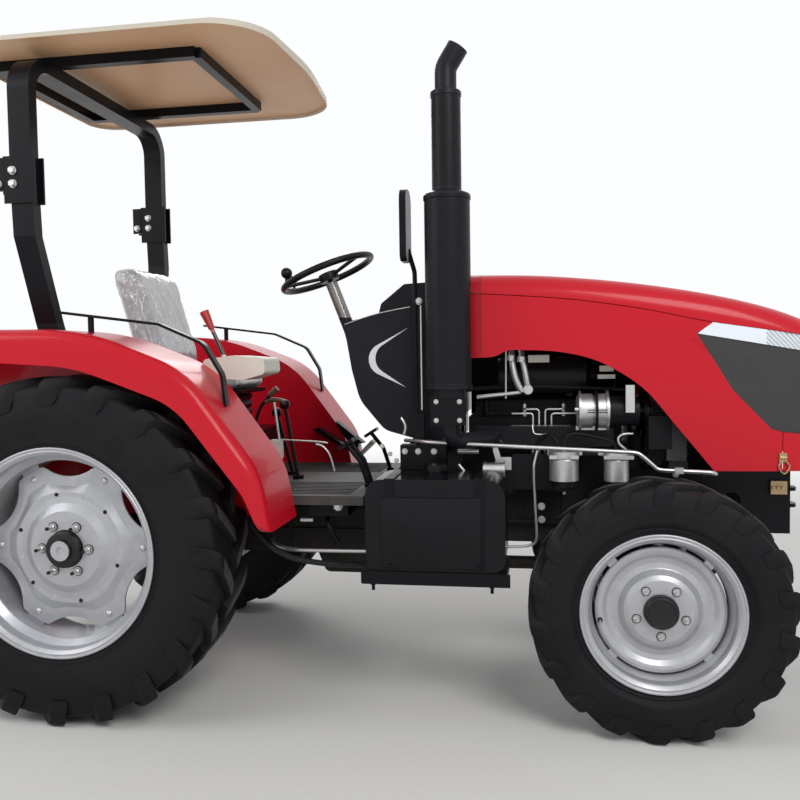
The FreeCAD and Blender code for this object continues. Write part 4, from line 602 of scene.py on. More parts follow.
# Hood: one pressed shell over the engine, cut into top, two side panels and nose, with a lamp strip
# and a mesh let into it. 4 mm sheet with a rolled shoulder; it tilts as one on the bulkhead's pins.
# Its sections have (distance from the rear edge, crown height, half width).
hood_sections = [(0, 1645, 350), (260, 1636, 350), (510, 1612, 350), (740, 1578, 350), (930, 1540, 348),
                 (1090, 1497, 342), (1220, 1448, 330), (1330, 1392, 300), (1395, 1344, 268),
                 (1424, 1300, 234)]
hood_rear, hood_base, hood_length = 1440, 884, 1428


def smooth_line(points, steps):
    """Points along a smooth line through the given ones."""
    line = []
    for i in range(len(points) - 1):
        before = points[max(i - 1, 0)]
        after = points[min(i + 2, len(points) - 1)]
        for step in range(steps):
            t = step / steps
            line.append(tuple(0.5 * (2 * b + (c - a) * t + (2 * a - 5 * b + 4 * c - d) * t * t
                                     + (3 * b - a - 3 * c + d) * t ** 3)
                              for a, b, c, d in zip(before, points[i], points[i + 1], after)))
    return line + [tuple(points[-1])]


def rounded(before, corner, after, radius, steps):
    """Points of the arc that rounds a corner in the plane."""
    corner = Vector(corner)
    back = (Vector(before) - corner).normalized()
    on = (Vector(after) - corner).normalized()
    half = back.angle(on) / 2
    centre = corner + (back + on).normalized() * (radius / math.sin(half))
    first = corner + back * (radius / math.tan(half)) - centre
    last = corner + on * (radius / math.tan(half)) - centre
    return [centre + first.slerp(last, i / steps).normalized() * radius for i in range(steps + 1)]


def hood_chain(crown, half):
    """Half outline of the hood across, from its lower edge up over the shoulder to the middle."""
    shoulder = (half, crown - 24)
    top = (0, crown + 8)
    line = [Vector((half, hood_base + (shoulder[1] - 110 - hood_base) * i / 10)) for i in range(11)]
    line += rounded((half, 0), shoulder, top, 88, 10)
    line += rounded(shoulder, top, (-half, crown - 24), 4 * half, 16)[1:9]
    return line


shell = bmesh.new()
previous = None
sections = smooth_line(hood_sections, 8) + [(hood_length, 1290, 222)]
for ahead_of, crown, half in sections:
    side = hood_chain(crown, half)
    outline = [(-p.x, p.y) for p in side] + [(p.x, p.y) for p in reversed(side[:-1])]
    chain = [shell.verts.new(mm(hood_rear + ahead_of, y, z)) for y, z in outline]
    edges = [shell.edges.new(pair) for pair in zip(chain, chain[1:])]
    if previous:
        bmesh.ops.bridge_loops(shell, edges=previous + edges)
    previous = edges
bmesh.ops.contextual_create(shell, geom=chain)
bmesh.ops.remove_doubles(shell, verts=shell.verts, dist=0.0002)
bmesh.ops.recalc_face_normals(shell, faces=shell.faces)
middle = [face for face in shell.faces if face.calc_center_median().z > 1.5]
if sum(face.normal.z for face in middle) < 0:
    bmesh.ops.reverse_faces(shell, faces=shell.faces)
bmesh.ops.solidify(shell, geom=shell.faces[:], thickness=0.004)
if shell.calc_volume(signed=True) < 0:
    bmesh.ops.reverse_faces(shell, faces=shell.faces)
shell_mesh = bpy.data.meshes.new("hood_shell")
shell.to_mesh(shell_mesh)
shell.free()


def prism(points, low, high):
    """Closed cutter: outline in drawing (x, z) between two distances across."""
    bm = bmesh.new()
    ring = [bm.verts.new(mm(x, low, z)) for x, z in points]
    face = bm.faces.new(ring)
    moved = bmesh.ops.extrude_face_region(bm, geom=[face])
    bmesh.ops.translate(bm, verts=[v for v in moved["geom"] if isinstance(v, bmesh.types.BMVert)],
                        vec=(0, (high - low) / 1000, 0))
    bmesh.ops.recalc_face_normals(bm, faces=bm.faces)
    return bm


def evaluated(piece):
    """New mesh of a piece with its modifiers done."""
    return bpy.data.meshes.new_from_object(piece.evaluated_get(bpy.context.evaluated_depsgraph_get()))


def carve(mesh, steps):
    """Mesh after cuts, each (operation, cutter bmesh), in their order."""
    source = placed("carved", mesh.copy())
    cutters = []
    for operation, bm in steps:
        cutter_mesh = bpy.data.meshes.new("cutter")
        bm.to_mesh(cutter_mesh)
        bm.free()
        cutter = placed("cutter", cutter_mesh)
        cutters.append(cutter)
        cut = source.modifiers.new(operation, "BOOLEAN")
        cut.operation = operation
        cut.object = cutter
        cut.solver = "EXACT"
    bpy.context.view_layer.update()
    result = evaluated(source)
    for extra in [source] + cutters:
        bpy.data.objects.remove(extra)
    return result


seam = [(-20, 1557), (350, 1527), (635, 1483), (890, 1427), (1185, 1379), (1448, 1330)]
seam_curve = smooth_line(seam, 6)
over_seam = seam_curve + [(1448, 1900), (-20, 1900)]
under_seam = [(x, z - 3) for x, z in seam_curve] + [(1448, 700), (-20, 700)]
lamp_low = [(1448, 1270), (1186, 1320), (834, 1386)]
lamp_zone = [(x, z - 3) for x, z in seam[3:]] + lamp_low
mesh_zone = [(1448, 1270), (1186, 1320), (834, 1386), (960, 1179), (1070, 1062), (1094, 1037), (1130, 1026),
             (1188, 1020), (1448, 1000)]
lower_edge = smooth_line([(-20, 1309), (95, 1312), (150, 1334), (200, 1336), (350, 1326), (495, 1286),
                          (645, 1190), (760, 1054), (895, 886)], 5) + [(895, 800), (-20, 800)]
nose_front = hood_length - 296
wide = 420

# Its enamel is that of the fenders, with painted shade that darkens the band along the rear
# flange. A faint bump stands for the crease that is pressed into each side panel in front.
hood_red, shader, place = new_finish("hood_enamel")
x, y, z = place.xyz()
clouds = place.noise(0.6, 4.0)
# Painted shade: the band along the rear flange is mixed towards a dark red
painted_shade_band = x < mm(1497, 0, 0).x
tint = clouds.mix((0.56, 0.007, 0.019, 1), (0.61, 0.008, 0.022, 1))
feed(shader, Base_Color=(painted_shade_band * 0.45).mix(tint, (0.22, 0.002, 0.006, 1)),
     Roughness=clouds * 0.14 + 0.23, Coat_Weight=0.2)
feed(shader, Coat_Roughness=0.08, Specular_IOR_Level=0.15)
off_crease = (x - mm(2262, 0, 0).x) * 0.62 + (z - 1.366) * 0.78
crease = off_crease.ramp(-0.012, 0.012, "SMOOTHSTEP") * (z < 1.37) * (y.math("ABSOLUTE", y) > 0.30)
height = crease * 4.0 + place.noise(0.006, 2.0) * 0.05
feed(shader, Normal=height.bump(0.0012))


def through_hood(points, low=-wide, high=wide):
    """Cutter across the hood, from an outline measured from its rear edge."""
    return prism([(hood_rear + x, z) for x, z in points], low, high)


def skin_between(start, end, low, high):
    """Shell under the seam between two stations and two distances across, with its openings cut."""
    stations = [(start, 700), (end, 700), (end, 1800), (start, 1800)]
    steps = [("INTERSECT", through_hood(stations, low, high)), ("INTERSECT", through_hood(under_seam))]
    steps += [("DIFFERENCE", through_hood(zone)) for zone in (lamp_zone, mesh_zone, lower_edge)]
    return carve(shell_mesh, steps)


top_mesh = carve(shell_mesh, [("INTERSECT", through_hood(over_seam))])
fit("hood_top_panel", top_mesh, hood_red, "hood", ("hood_top",), sharp=30)


left_skin = skin_between(-30, nose_front, 12, wide)
right_skin = left_skin.copy()
for vert in right_skin.vertices:
    vert.co.y = -vert.co.y
right_skin.flip_normals()
fit("side_skin_l", left_skin, hood_red, "hood", ("side_panel_l",), sharp=30)
fit("side_skin_r", right_skin, hood_red, "hood", ("side_panel_r",), sharp=30)
nose_skin = skin_between(nose_front + 3, 1460, -wide, wide)
fit("nose_skin", nose_skin, hood_red, "hood", ("nose_cowl",), sharp=30)


def sunk(mesh, share):
    """Mesh drawn in towards the middle of the nose by a share of its size."""
    middle = mm(2200, 0, 1180)
    for vert in mesh.vertices:
        vert.co = middle + (vert.co - middle) * (1 - share)
    return mesh


# Hood latches: brass toggle on each side panel, its wire loop hooked on a catch of the frame
brass = finish("latch_brass", (0.42, 0.30, 0.16), 0.38, metallic=0.7, vary=0.2, cloud=0.01)
for side, letter in ((-1, "r"), (1, "l")):
    toggle = bmesh.new()
    out = side * 338
    block(toggle, (2560, min(out, out + side * 10), 918), (2586, max(out, out + side * 10), 950))
    drum(toggle, mm(2562, out + side * 8, 934), ahead_x, 0.006, 0.022)
    fit("latch_toggle_" + letter, toggle, brass, "hood")
    catch = bmesh.new()
    low, high = sorted((side * 199, side * 216))
    block(catch, (2566, low, 780), (2624, high, 830))
    for x in (2574, 2590, 2606):
        drum(catch, mm(x, side * 216, 805), (0, side, 0), 0.006, 0.012)
    fit("latch_catch_" + letter, catch, brass)
    loop = [(x, out + side * off, z) for x, off, z in
            ((2575, 9, 930), (2590, 9, 912), (2598, 9, 902), (2578, 6, 868), (2556, 9, 898), (2562, 9, 914),
             (2575, 9, 930))]
    pipe("latch_loop_" + letter, loop, 0.003, brass, "hood")

# Headlamps: chrome strip round the nose under a clear window, with ribbed bowls towards the front
chrome, shader, place = new_finish("lamp_chrome")
x, y, z = place.xyz()
ribs = place.waves("DIAGONAL", 38.0)
front_part = x > 1.56
sheen = place.noise(0.09, 2.0)
# Painted reflection: pale sky above a slanting horizon line and greyer blue below it, with the ribbed bowls in
# front darker over it
line = (z + x * 0.32).ramp(1.655, 1.705)
painted_sky_reflection = line.mix((0.40, 0.46, 0.54, 1), (0.86, 0.91, 0.97, 1))
tint = (ribs * front_part * 0.55).mix(painted_sky_reflection, (0.22, 0.24, 0.27, 1))
feed(shader, Base_Color=tint, Metallic=0.55, Roughness=sheen * 0.1 + 0.06, Coat_Weight=1.0)
ripple = ribs * front_part + sheen
feed(shader, Coat_Roughness=0.03, Normal=ripple.bump(0.002))
lamp_front = [(x, z) for x, z in seam[3:]] + [(1448, 1272), (1186, 1322), (838, 1387)]
window = sunk(carve(shell_mesh, [("INTERSECT", through_hood(lamp_front))]), 0.006)
fit("lamp_windows", window, chrome, "hood", ("headlamps",), sharp=30)

# Grille: black woven wire, stretched over the slotted sheet in the nose's opening
wire, shader, place = new_finish("grille_wire")
x, y, z = place.xyz()
wire_pitch = 0.0065
step_a = (x + z + y * 0.7) * (1 / wire_pitch)
step_b = (x - z - y * 0.7) * (1 / wire_pitch)
hole_a = step_a.math("FRACT", step_a) - 0.5
hole_b = step_b.math("FRACT", step_b) - 0.5
hole = (hole_a * hole_a + hole_b * hole_b) < 0.11
waves = place.noise(0.16, 3.0)
tint = hole.mix((0.050, 0.050, 0.050, 1), (0.006, 0.006, 0.006, 1))
feed(shader, Base_Color=tint, Roughness=0.42, Metallic=0.1)
weave = (1.0 - hole) * 0.4 + waves * 6.0
feed(shader, Normal=weave.bump(0.0016))
mesh_panel = sunk(carve(shell_mesh, [("INTERSECT", through_hood(mesh_zone))]), 0.010)
fit("grille_wire", mesh_panel, wire, "hood", ("grille_mesh",), sharp=30)

# Exhaust: silencer and stack in punched black heat shields with plain bands, and a bent outlet
shield, shader, place = new_finish("punched_shield")
x, y, z = place.xyz()
centre = mm(1381, -450, 0)
angle = (y - centre.y).math("ARCTAN2", y - centre.y, x - centre.x)
row_pitch, holes_round = 0.0085, 62
row = z * (1 / row_pitch)
step = row.math("FLOOR", row) * 0.5
turned = angle * (holes_round / (2 * math.pi)) + step
spot_x = turned.math("FRACT", turned) - 0.5
spot_z = row.math("FRACT", row) - 0.5
hole = (spot_x * spot_x + spot_z * spot_z) < 0.085
body_zone = (z > 1.205) * (z < 1.893) + (z > 1.93) * (z < 2.25)
hole = hole * body_zone
clouds = place.noise(0.05)
sheet = clouds.mix((0.010, 0.010, 0.013, 1), (0.017, 0.017, 0.021, 1))
feed(shader, Base_Color=hole.mix(sheet, (0.0005, 0.0005, 0.0005, 1)), Roughness=0.34 + hole * 0.4)
feed(shader, Specular_IOR_Level=0.15, Normal=(1.0 - hole).bump(0.0012))
dress(shield, "exhaust")

# Dash cowl: moulded black plastic with a pale trim on each side, steering column and wheel
dash, shader, place = new_finish("dash_plastic")
x, y, z = place.xyz()
trim_zone = (y.math("ABSOLUTE", y) > 0.2205) * within(place, (1000, -300, 1180), (1206, 300, 1446))
column = within(place, (800, -40, 1490), (935, 40, 1650))
clouds = place.noise(0.05)
moulded = clouds.mix((0.005, 0.005, 0.009, 1), (0.009, 0.009, 0.015, 1))
feed(shader, Base_Color=column.mix(trim_zone.mix(moulded, (0.72, 0.72, 0.76, 1)), (0.22, 0.21, 0.20, 1)),
     Roughness=0.36 - column * 0.14, Metallic=trim_zone * 0.4 + column)
feed(shader, Specular_IOR_Level=0.2, Normal=place.noise(0.0012).bump(0.00025))
dress(dash, "dash_cowl")
grip = finish("steering_grip", (0.006, 0.006, 0.007), 0.36, vary=0.2, bump=0.0002, bump_size=0.001,
              shine=0.2)
dress(grip, "steering_wheel")
spinner = bmesh.new()
bmesh.ops.create_uvsphere(spinner, u_segments=32, v_segments=16, radius=0.025, matrix=Matrix.Translation(
    mm(614, 48, 1694)))
drum(spinner, mm(614, 48, 1650), (0, 0, 1), 0.008, 0.04)
fit("spinner_knob", spinner, grip, "hand_wheel")
for side, letter in ((-1, "r"), (1, "l")):
    seam_points = [(936, side * 219, 1452), (1000, side * 221, 1474), (1100, side * 221, 1500),
                   (1205, side * 221, 1516)]
    pipe("dash_seam_" + letter, seam_points, 0.0022, zinc)

# Mirror stay: black flat bar up the hood's rear corner with a bright plated strip along its front edge, and
# its clamp
stay = bmesh.new()
block(stay, (1224, -353, 1102), (1262, -346, 1522))
fit("mirror_stay", stay, black_metal)
stay_edge = bmesh.new()
block(stay_edge, (1262.5, -353, 1112), (1267, -345, 1512))
bolt(stay_edge, mm(1258, -352, 1528), (0, -1, 0), 0.020)
fit("mirror_stay_edge", stay_edge, zinc)

# Seat: foam cushion and back under grey vinyl, still in the clear film that it was delivered in.
# Its cover is sewn at the edges; it stands on bellows on the platform's deck.
vinyl, shader, place = new_finish("wrapped_vinyl")
folds = place.noise(0.06, 6.0)
pulled = place.node("VectorMath", {"operation": "MULTIPLY"}, {0: place, 1: (1.0, 1.0, 0.35)})
creases = pulled.noise(0.07, 3.5) - 0.5
creases = creases.math("ABSOLUTE", creases)
# Painted light on the film: its folds are painted as lighter and darker sheen on the grey vinyl, and its sharp
# creases as near-white painted highlights
painted_highlight_streak = creases < 0.006
vinyl_with_painted_sheen = folds.mix((0.30, 0.30, 0.32, 1), (0.56, 0.56, 0.58, 1))
feed(shader, Base_Color=painted_highlight_streak.mix(vinyl_with_painted_sheen, (0.80, 0.80, 0.82, 1)), Roughness=0.30, Coat_Weight=0.6)
ridge = folds * 0.6 - creases * 2.0
feed(shader, Coat_Roughness=0.12, Normal=ridge.bump(0.007))


def pad(name, low, high, lean, node, body):
    """Stuffed pad in a box from low to high, sheared back by lean over its height."""
    most = 0.012  # that its cover moves as it swells
    bm = bmesh.new()
    bmesh.ops.create_cube(bm, size=1)
    soften(bm, bm.edges[:], 0.12)
    bmesh.ops.subdivide_edges(bm, edges=bm.edges[:], cuts=3, use_grid_fill=True)
    size = high - low
    centre = (low + high) / 2
    for vert in bm.verts:
        p = vert.co
        vert.co = Vector((centre.x + p.x * size.x + lean * p.z, centre.y + p.y * size.y,
                          centre.z + p.z * size.z))
    mesh = bpy.data.meshes.new(name)
    bm.to_mesh(mesh)
    bm.free()
    piece = placed(name, mesh)
    remesh = piece.modifiers.new("remesh", "REMESH")
    remesh.mode = "VOXEL"
    remesh.voxel_size = 0.006
    bpy.context.view_layer.update()
    fine = evaluated(piece)
    piece.modifiers.clear()
    piece.data = fine
    rest = [vert.co.copy() for vert in fine.vertices]
    cloth = piece.modifiers.new("cloth", "CLOTH")
    cloth.settings.use_pressure = True
    cloth.settings.uniform_pressure_force = 4.0
    cloth.settings.effector_weights.gravity = 0.0
    scene = bpy.context.scene
    for step in range(1, 21):
        scene.frame_set(step)
    swollen = evaluated(piece)
    piece.modifiers.clear()
    for vert, start in zip(swollen.vertices, rest):
        moved = vert.co - start
        if moved.length > most:
            vert.co = start + moved * (most / moved.length)
    piece.data = swollen
    scene.frame_set(1)
    piece.data.materials.clear()
    piece.data.materials.append(vinyl)
    piece.data.shade_smooth()
    finer = piece.modifiers.new("finer", "SUBSURF")
    finer.levels = finer.render_levels = 1
    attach(piece, body)
    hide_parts(node)


pad("cushion_pad", mm(2, -218, 1200), mm(462, 218, 1276), 0.0, "seat_cushion", "chassis")
pad("back_pad", mm(-26, -218, 1296), mm(78, 218, 1716), -0.125, "seat_back", "chassis")

# Sunshade: glass-fibre shell with a gel coat, cream above and bare tan resin below
cream, shader, place = new_finish("cream_gelcoat")
facing_down = place.node("NewGeometry", {}, {}, 1)
down = facing_down.xyz()[2] < -0.5
clouds = place.noise(0.25, 4.0)
upper = clouds.mix((0.56, 0.51, 0.42, 1), (0.63, 0.58, 0.49, 1))
lower = clouds.mix((0.62, 0.38, 0.20, 1), (0.74, 0.49, 0.29, 1))
feed(shader, Base_Color=down.mix(upper, lower), Roughness=0.42)
feed(shader, Specular_IOR_Level=0.2)
dress(cream, "sunshade")

# Console on the right fender: cream moulding with a slot for the lift lever and its red knob
shell_cream, shader, place = new_finish("console_moulding")
z = place.xyz()[2]
lever_part = z > 1.336
knob_part = z > 1.425
clouds = place.noise(0.04)
tint = clouds.mix((0.66, 0.63, 0.55, 1), (0.76, 0.73, 0.66, 1))
tint = knob_part.mix(lever_part.mix(tint, (0.010, 0.010, 0.010, 1)), (0.42, 0.010, 0.012, 1))
feed(shader, Base_Color=tint, Roughness=0.4 - lever_part * 0.15, Coat_Weight=lever_part * 0.4)
dress(shell_cream, "console")

# Tail lamps: red lenses on the backs of the fenders
red_lens = finish("red_lens", (0.45, 0.006, 0.008), 0.16, coat=0.6, vary=0.1)
dress(red_lens, "tail_lamps")

# Top link and lift rods of the rear linkage: steel bars and eyes on pins, plated against rust
dress(zinc, "top_link", "lift_rods")

# Wheels: rolled rims with grooved lips, and a disc pressed in steps that sits in them: lobed and
# bolted at the rear, round and welded at the front. Silver enamel, black hub, plated studs.
def wheel_finish(name, centre, radius, cap):
    """Silver enamel with the black hub inside a radius and its pale cap."""
    material, shader, place = new_finish(name)
    clouds = place.noise(0.04, 4.0)
    x, y, z = place.xyz()
    across = (x - centre.x) * (x - centre.x) + (z - centre.z) * (z - centre.z)
    black = (across < radius * radius) * (across > cap * cap)
    paint = clouds.mix((0.40, 0.405, 0.43, 1), (0.52, 0.525, 0.55, 1))
    feed(shader, Base_Color=black.mix(paint, (0.010, 0.010, 0.010, 1)), Metallic=(1 - black) * 0.45,
         Roughness=clouds * 0.12 + 0.28, Coat_Weight=(1 - black) * 0.25)
    feed(shader, Specular_IOR_Level=0.35, Normal=place.noise(0.0015).bump(0.00012))
    return material


def lathe(centre, side, section, steps=96):
    """Ring turned about a wheel's axle from a closed section of (distance out, radius, rounding)."""
    line = []
    for i, (out, r, rounding) in enumerate(section):
        before = section[i - 1][:2]
        after = section[(i + 1) % len(section)][:2]
        line += rounded(before, (out, r), after, rounding, 3) if rounding else [Vector((out, r))]
    bm = bmesh.new()
    chain = [bm.verts.new((centre.x, side * out / 1000, centre.z + r / 1000)) for out, r in line]
    edges = [bm.edges.new(pair) for pair in zip(chain, chain[1:] + chain[:1])]
    bmesh.ops.spin(bm, geom=chain + edges, cent=centre, axis=(0, 1, 0), angle=2 * math.pi, steps=steps,
                   use_merge=True)
    bmesh.ops.remove_doubles(bm, verts=bm.verts, dist=0.00005)
    return bm


def rim_section(track, flange, half, well):
    """Section of a rim: rolled lips, a groove and a ridge inside them, bead seats and the well."""
    seat = flange - 22
    low = seat - well
    points = []
    for hand in (1, -1):
        visible = [(half - 8, flange, 3), (half, flange, 3.5), (half, flange - 7, 2),
                   (half - 4, flange - 9, 1.5), (half - 4, flange - 13, 1.5), (half - 2, flange - 15, 1.5),
                   (half - 3, flange - 18, 2),
                   (half - 13, seat - 7, 3), (half - 22, seat - 9.5, 4), (half - 30, seat - 6, 4),
                   (half - 50, seat - 9, 6), (half - 72, low - 6, 8)]
        points += [(track + hand * out, r, rounding) for out, r, rounding in visible[::hand]]
    for hand in (-1, 1):
        hidden = [(half - 8, seat, 2), (half - 52, seat - 3, 4), (half - 74, low, 6)]
        points += [(track + hand * out, r, rounding) for out, r, rounding in hidden[::-hand]]
    return points


def add(bm, other):
    mesh = bpy.data.meshes.new("joined")
    other.to_mesh(mesh)
    other.free()
    bm.from_mesh(mesh)
    bpy.data.meshes.remove(mesh)


def bitten(bm, centre, outer, count, far, bite):
    """Disc whose edge is drawn in by round bites: their count, distance and radius in millimetres."""
    for vert in bm.verts:
        ray = (vert.co - centre).xz * 1000
        r = ray.length
        turn = (math.atan2(ray.x, ray.y) + math.pi / count) % (2 * math.pi / count) - math.pi / count
        across = far * math.sin(turn)
        reach = outer
        if abs(across) < bite:
            reach = min(outer, far * math.cos(turn) - math.sqrt(bite ** 2 - across ** 2))
        share = max(0.0, (r - 200) / (outer - 200))
        vert.co.xz = centre.xz + ray / r * (r - share * (outer - reach)) / 1000
    return bm


def round_axle(count, centre, side, out, radius, first=0.0):
    """Places evenly round a wheel's axle, that far out from the tractor's middle."""
    return ring_of(count, Vector((centre.x, side * out, centre.z)), (0, side, 0), radius, first)


for side, letter in ((1, "l"), (-1, "r")):
    low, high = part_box("rear_wheel_" + letter)
    centre = (low + high) / 2
    silver = wheel_finish("rear_enamel_" + letter, centre, 0.070, 0.0365)
    wheel = lathe(centre, side, rim_section(680, 381, 151, 26))
    disc = lathe(centre, side, [(748, 60, 0), (748, 138, 5), (732, 166, 8), (727.5, 190, 6), (727.5, 210, 6),
                                (712, 250, 10), (710.5, 314, 2), (701.5, 314, 1), (703, 250, 8),
                                (718, 208, 6), (718, 190, 6), (723, 166, 6), (739, 132, 5), (739, 60, 0)], 144)
    add(wheel, bitten(disc, centre, outer=314, count=6, far=426, bite=164))
    add(wheel, lathe(centre, side, [(749.5, 30, 0), (749.5, 66, 0), (770, 66, 2.5), (773, 60, 3),
                                    (774, 41, 1), (786, 40, 1), (787, 36.5, 0.8), (787, 14, 0.5),
                                    (781, 12, 0.5), (781, 2, 0)]))
    for spot in round_axle(6, centre, side, 0.7, 0.303):
        ray = (spot - Vector((centre.x, spot.y, centre.z))).normalized()
        axle = Vector((0, 1, 0))
        tab = Matrix((axle.cross(ray), axle, ray)).transposed().to_4x4()
        tab.translation = Vector((centre.x, side * 0.696, centre.z)) + ray * 0.304
        bmesh.ops.create_cube(wheel, size=1, matrix=tab @ Matrix.Diagonal((0.074, 0.008, 0.05, 1)))
    fit("rear_wheel_skin_" + letter, wheel, silver, "wheel_r" + letter,
        ("rear_wheel_" + letter,), sharp=34)
    studs = bmesh.new()
    for spot in round_axle(6, centre, side, 0.748, 0.0925):
        bolt(studs, spot, (0, side, 0), 0.024)
        end = facing(spot + Vector((0, side * 0.022, 0)), (0, side, 0))
        cone(studs, end, 0.0062, 0.0062, 0.028)
        cone(studs, end @ Matrix.Translation((0, 0, 0.015)), 0.0062, 0.0048, 0.002)
    for spot in round_axle(6, centre, side, 0.7105, 0.284):
        bmesh.ops.create_uvsphere(studs, u_segments=20, v_segments=10, radius=0.012,
                                  matrix=Matrix.Translation(spot) @ Matrix.Diagonal((1, 0.6, 1, 1)))
    for spot in round_axle(6, centre, side, 0.7276, 0.192, math.radians(12)):
        cone(studs, facing(spot, (0, side, 0)), 0.006, 0.004, 0.003)
    fit("rear_wheel_studs_" + letter, studs, zinc, "wheel_r" + letter)
    ends = bmesh.new()
    for spot in round_axle(6, centre, side, 0.7485, 0.0925):
        drum(ends, spot, (0, side, 0), 0.0185, 0.0022)
        drum(ends, spot + Vector((0, side * 0.0365, 0)), (0, side, 0), 0.0064, 0.006)
    for spot in round_axle(6, centre, side, 0.7275, 0.200, math.radians(42)):
        drum(ends, spot, (0, side, 0), 0.0075, 0.0012)
    fit("rear_stud_ends_" + letter, ends, casting, "wheel_r" + letter)

    low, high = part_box("front_wheel_" + letter)
    centre = (low + high) / 2
    silver = wheel_finish("front_enamel_" + letter, centre, 0.0585, 0.0)
    wheel = lathe(centre, side, rim_section(588, 272, 96, 18))
    add(wheel, lathe(centre, side, [(640, 56, 0), (640, 106, 5), (632, 122, 8), (611, 140, 9), (607, 160, 9),
                                    (610, 178, 9), (622, 192, 8), (625, 205, 8), (621, 217, 3), (613, 217, 3),
                                    (616, 204, 5), (614, 196, 5), (600, 180, 6), (598, 160, 6), (602, 140, 6),
                                    (624, 116, 6), (632, 104, 3), (632, 56, 0)]))
    add(wheel, lathe(centre, side, [(632, 2, 0), (632, 57.4, 0), (657, 57.4, 2), (665, 51, 3), (666, 46, 1),
                                    (663, 44, 0.5), (663, 2, 0)]))
    for spot in round_axle(4, centre, side, 0.612, 0.222, math.radians(45)):
        cone(wheel, facing(spot, (0, side, 0)), 0.018, 0.018, 0.012, 24)
    fit("front_wheel_skin_" + letter, wheel, silver, "wheel_f" + letter,
        ("front_wheel_" + letter,), sharp=34)
    studs = bmesh.new()
    for spot in round_axle(5, centre, side, 0.640, 0.085, math.radians(-90)):
        bolt(studs, spot, (0, side, 0), 0.020)
        cone(studs, facing(spot + Vector((0, side * 0.016, 0)), (0, side, 0)), 0.0052, 0.0052, 0.018)
    valve = Vector((centre.x - 0.2, side * 0.628, centre.z - 0.04))
    cone(studs, facing(valve, (0, side, 0)), 0.0045, 0.0035, 0.030, 12)
    fit("front_wheel_studs_" + letter, studs, zinc, "wheel_f" + letter)
    ends = bmesh.new()
    for spot in round_axle(5, centre, side, 0.6403, 0.085, math.radians(-90)):
        drum(ends, spot, (0, side, 0), 0.0160, 0.0016)
    drum(ends, Vector((centre.x - 0.2, side * 0.618, centre.z - 0.04)), (0, side, 0), 0.009, 0.012)
    fit("front_stud_rings_" + letter, ends, casting, "wheel_f" + letter)


# Tyres: black rubber with slanted lugs that run down over the shoulder, and rings on the sidewall
def tyre_rubber(name, centre, radius):
    """Black rubber, dusty in patches, lighter grey on the outer faces of the lugs."""
    material, shader, place = new_finish(name)
    clouds = place.noise(0.03, 5.0)
    dirt = clouds * (place.noise(0.25) > 0.5) * 0.3
    x, y, z = place.xyz()
    far = (x - centre.x) * (x - centre.x) + (z - centre.z) * (z - centre.z)
    # The outer faces of the lugs are made a lighter grey than the rest of the rubber
    lug_top_grey = (far > (radius - 0.004) ** 2) * (clouds * 0.8 + 0.2)
    tint = dirt.mix((0.0045, 0.0045, 0.0060, 1), (0.026, 0.023, 0.020, 1))
    feed(shader, Base_Color=lug_top_grey.mix(tint, (0.075, 0.074, 0.072, 1)), Roughness=0.60 + dirt * 0.4)
    feed(shader, Specular_IOR_Level=0.2, Normal=place.noise(0.002).bump(0.0004))
    return material


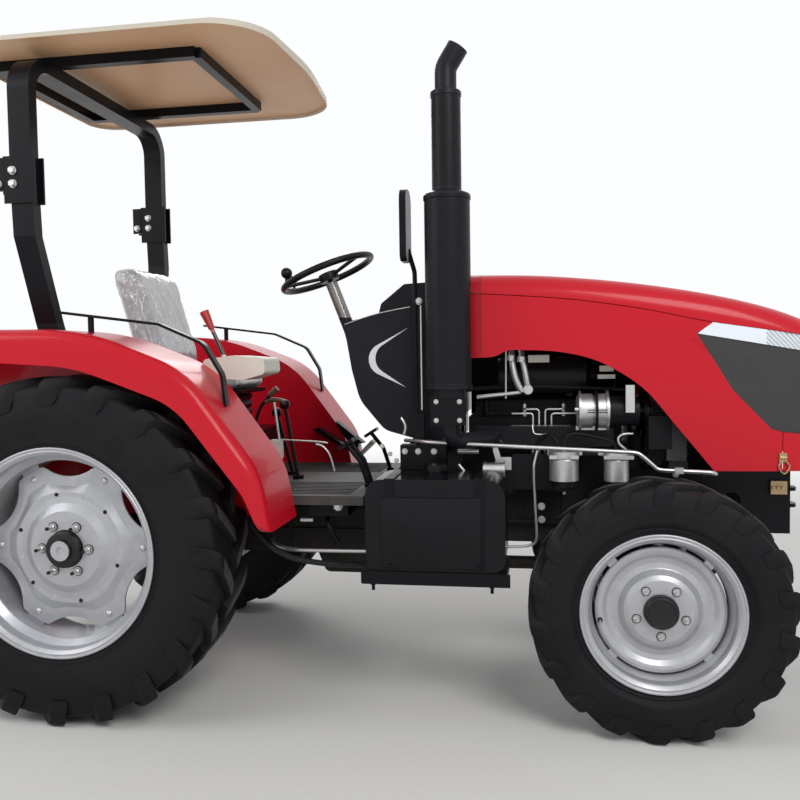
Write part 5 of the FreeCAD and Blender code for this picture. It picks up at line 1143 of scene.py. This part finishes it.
def tyre(name, node, body, radius, width, flange, rim_width, depth, lugs):
    """Tyre in place of a node: lathed carcass, and one pair of lugs copied round it."""
    low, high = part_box(node)
    centre = (low + high) / 2
    centre.z = radius
    bead = rim_width / 2 - 0.009
    half = width / 2
    seat = flange - 0.022
    tall = radius - seat
    side = [(bead, seat + 0.001), (bead, flange + 0.002), (bead + 0.001, flange + 0.010),
            (bead + 0.004, flange + 0.016), (bead + 0.002, flange + 0.022), (0.965 * half, seat + 0.30 * tall),
            (half - 0.002, seat + 0.42 * tall), (half - 0.001, seat + 0.50 * tall),
            (0.975 * half, seat + 0.62 * tall), (0.94 * half, seat + 0.72 * tall),
            (0.86 * half, radius - depth - 0.004), (0.60 * half, radius - depth), (0, radius - depth + 0.002)]
    line = smooth_line(side, 3)
    line += [(-y, r) for y, r in reversed(line[:-1])]
    bm = bmesh.new()
    chain = [bm.verts.new((centre.x, centre.y + y, centre.z + r)) for y, r in line]
    edges = [bm.edges.new(pair) for pair in zip(chain, chain[1:])]
    bmesh.ops.spin(bm, geom=chain + edges, cent=centre, axis=(0, 1, 0), angle=2 * math.pi, steps=96,
                   use_merge=True)
    bmesh.ops.remove_doubles(bm, verts=bm.verts, dist=0.0002)
    flat = 2 * math.pi / lugs
    foot = radius - depth - 0.012
    deep = radius - 2.3 * depth
    stations = [(0.03, 0.0, radius - 0.002, foot, 0.115, 0.17),
                (0.25, 0.16, radius - 0.001, foot, 0.12, 0.17),
                (0.5, 0.36, radius - 0.001, foot, 0.13, 0.18),
                (0.75, 0.56, radius - 0.06 * depth, foot, 0.145, 0.19),
                (0.90, 0.68, radius - 0.25 * depth, foot - 0.6 * depth, 0.155, 0.20),
                (0.965, 0.74, radius - 0.8 * depth, deep, 0.165, 0.21),
                (0.993, 0.78, radius - 1.7 * depth, deep - 0.4 * depth, 0.165, 0.205),
                (0.998, 0.80, radius - 2.8 * depth, radius - 3.1 * depth, 0.14, 0.17)]
    bars = bmesh.new()
    for hand in (1, -1):
        lead = (0.25 if hand == 1 else 0.75) * flat
        previous = None
        for share, behind, top, base, top_half, foot_half in stations:
            ring = []
            for r, offset in ((base, -foot_half), (top, -top_half), (top, top_half), (base, foot_half)):
                angle = lead - behind * flat + offset * flat
                ring.append(bars.verts.new((centre.x + r * math.sin(angle), centre.y + hand * share * half,
                                            centre.z + r * math.cos(angle))))
            edges = [bars.edges.new((ring[i], ring[(i + 1) % 4])) for i in range(4)]
            if previous:
                bmesh.ops.bridge_loops(bars, edges=previous + edges)
            else:
                bmesh.ops.contextual_create(bars, geom=ring)
            previous = edges
        bmesh.ops.contextual_create(bars, geom=ring)
    bmesh.ops.recalc_face_normals(bars, faces=bars.faces)
    crowns = [e for e in bars.edges if all((v.co - centre).xz.length > radius - 2.5 * depth for v in e.verts)
              and e.is_manifold and e.calc_face_angle(0) > 0.7]
    soften(bars, crowns, 0.1 * depth, 2)
    bmesh.ops.spin(bars, geom=bars.verts[:] + bars.edges[:] + bars.faces[:], cent=centre, axis=(0, 1, 0),
                   angle=2 * math.pi * (lugs - 1) / lugs, steps=lugs - 1, use_duplicate=True)
    add(bm, bars)
    fit(name, bm, tyre_rubber(name, centre, radius), body, (node,), sharp=42)


for side in "lr":
    tyre("rear_rubber_" + side, "rear_tyre_" + side, "wheel_r" + side, radius=0.635, width=0.315,
         flange=0.381, rim_width=0.302, depth=0.034, lugs=20)
    tyre("front_rubber_" + side, "front_tyre_" + side, "wheel_f" + side, radius=0.445, width=0.211,
         flange=0.272, rim_width=0.192, depth=0.024, lugs=18)
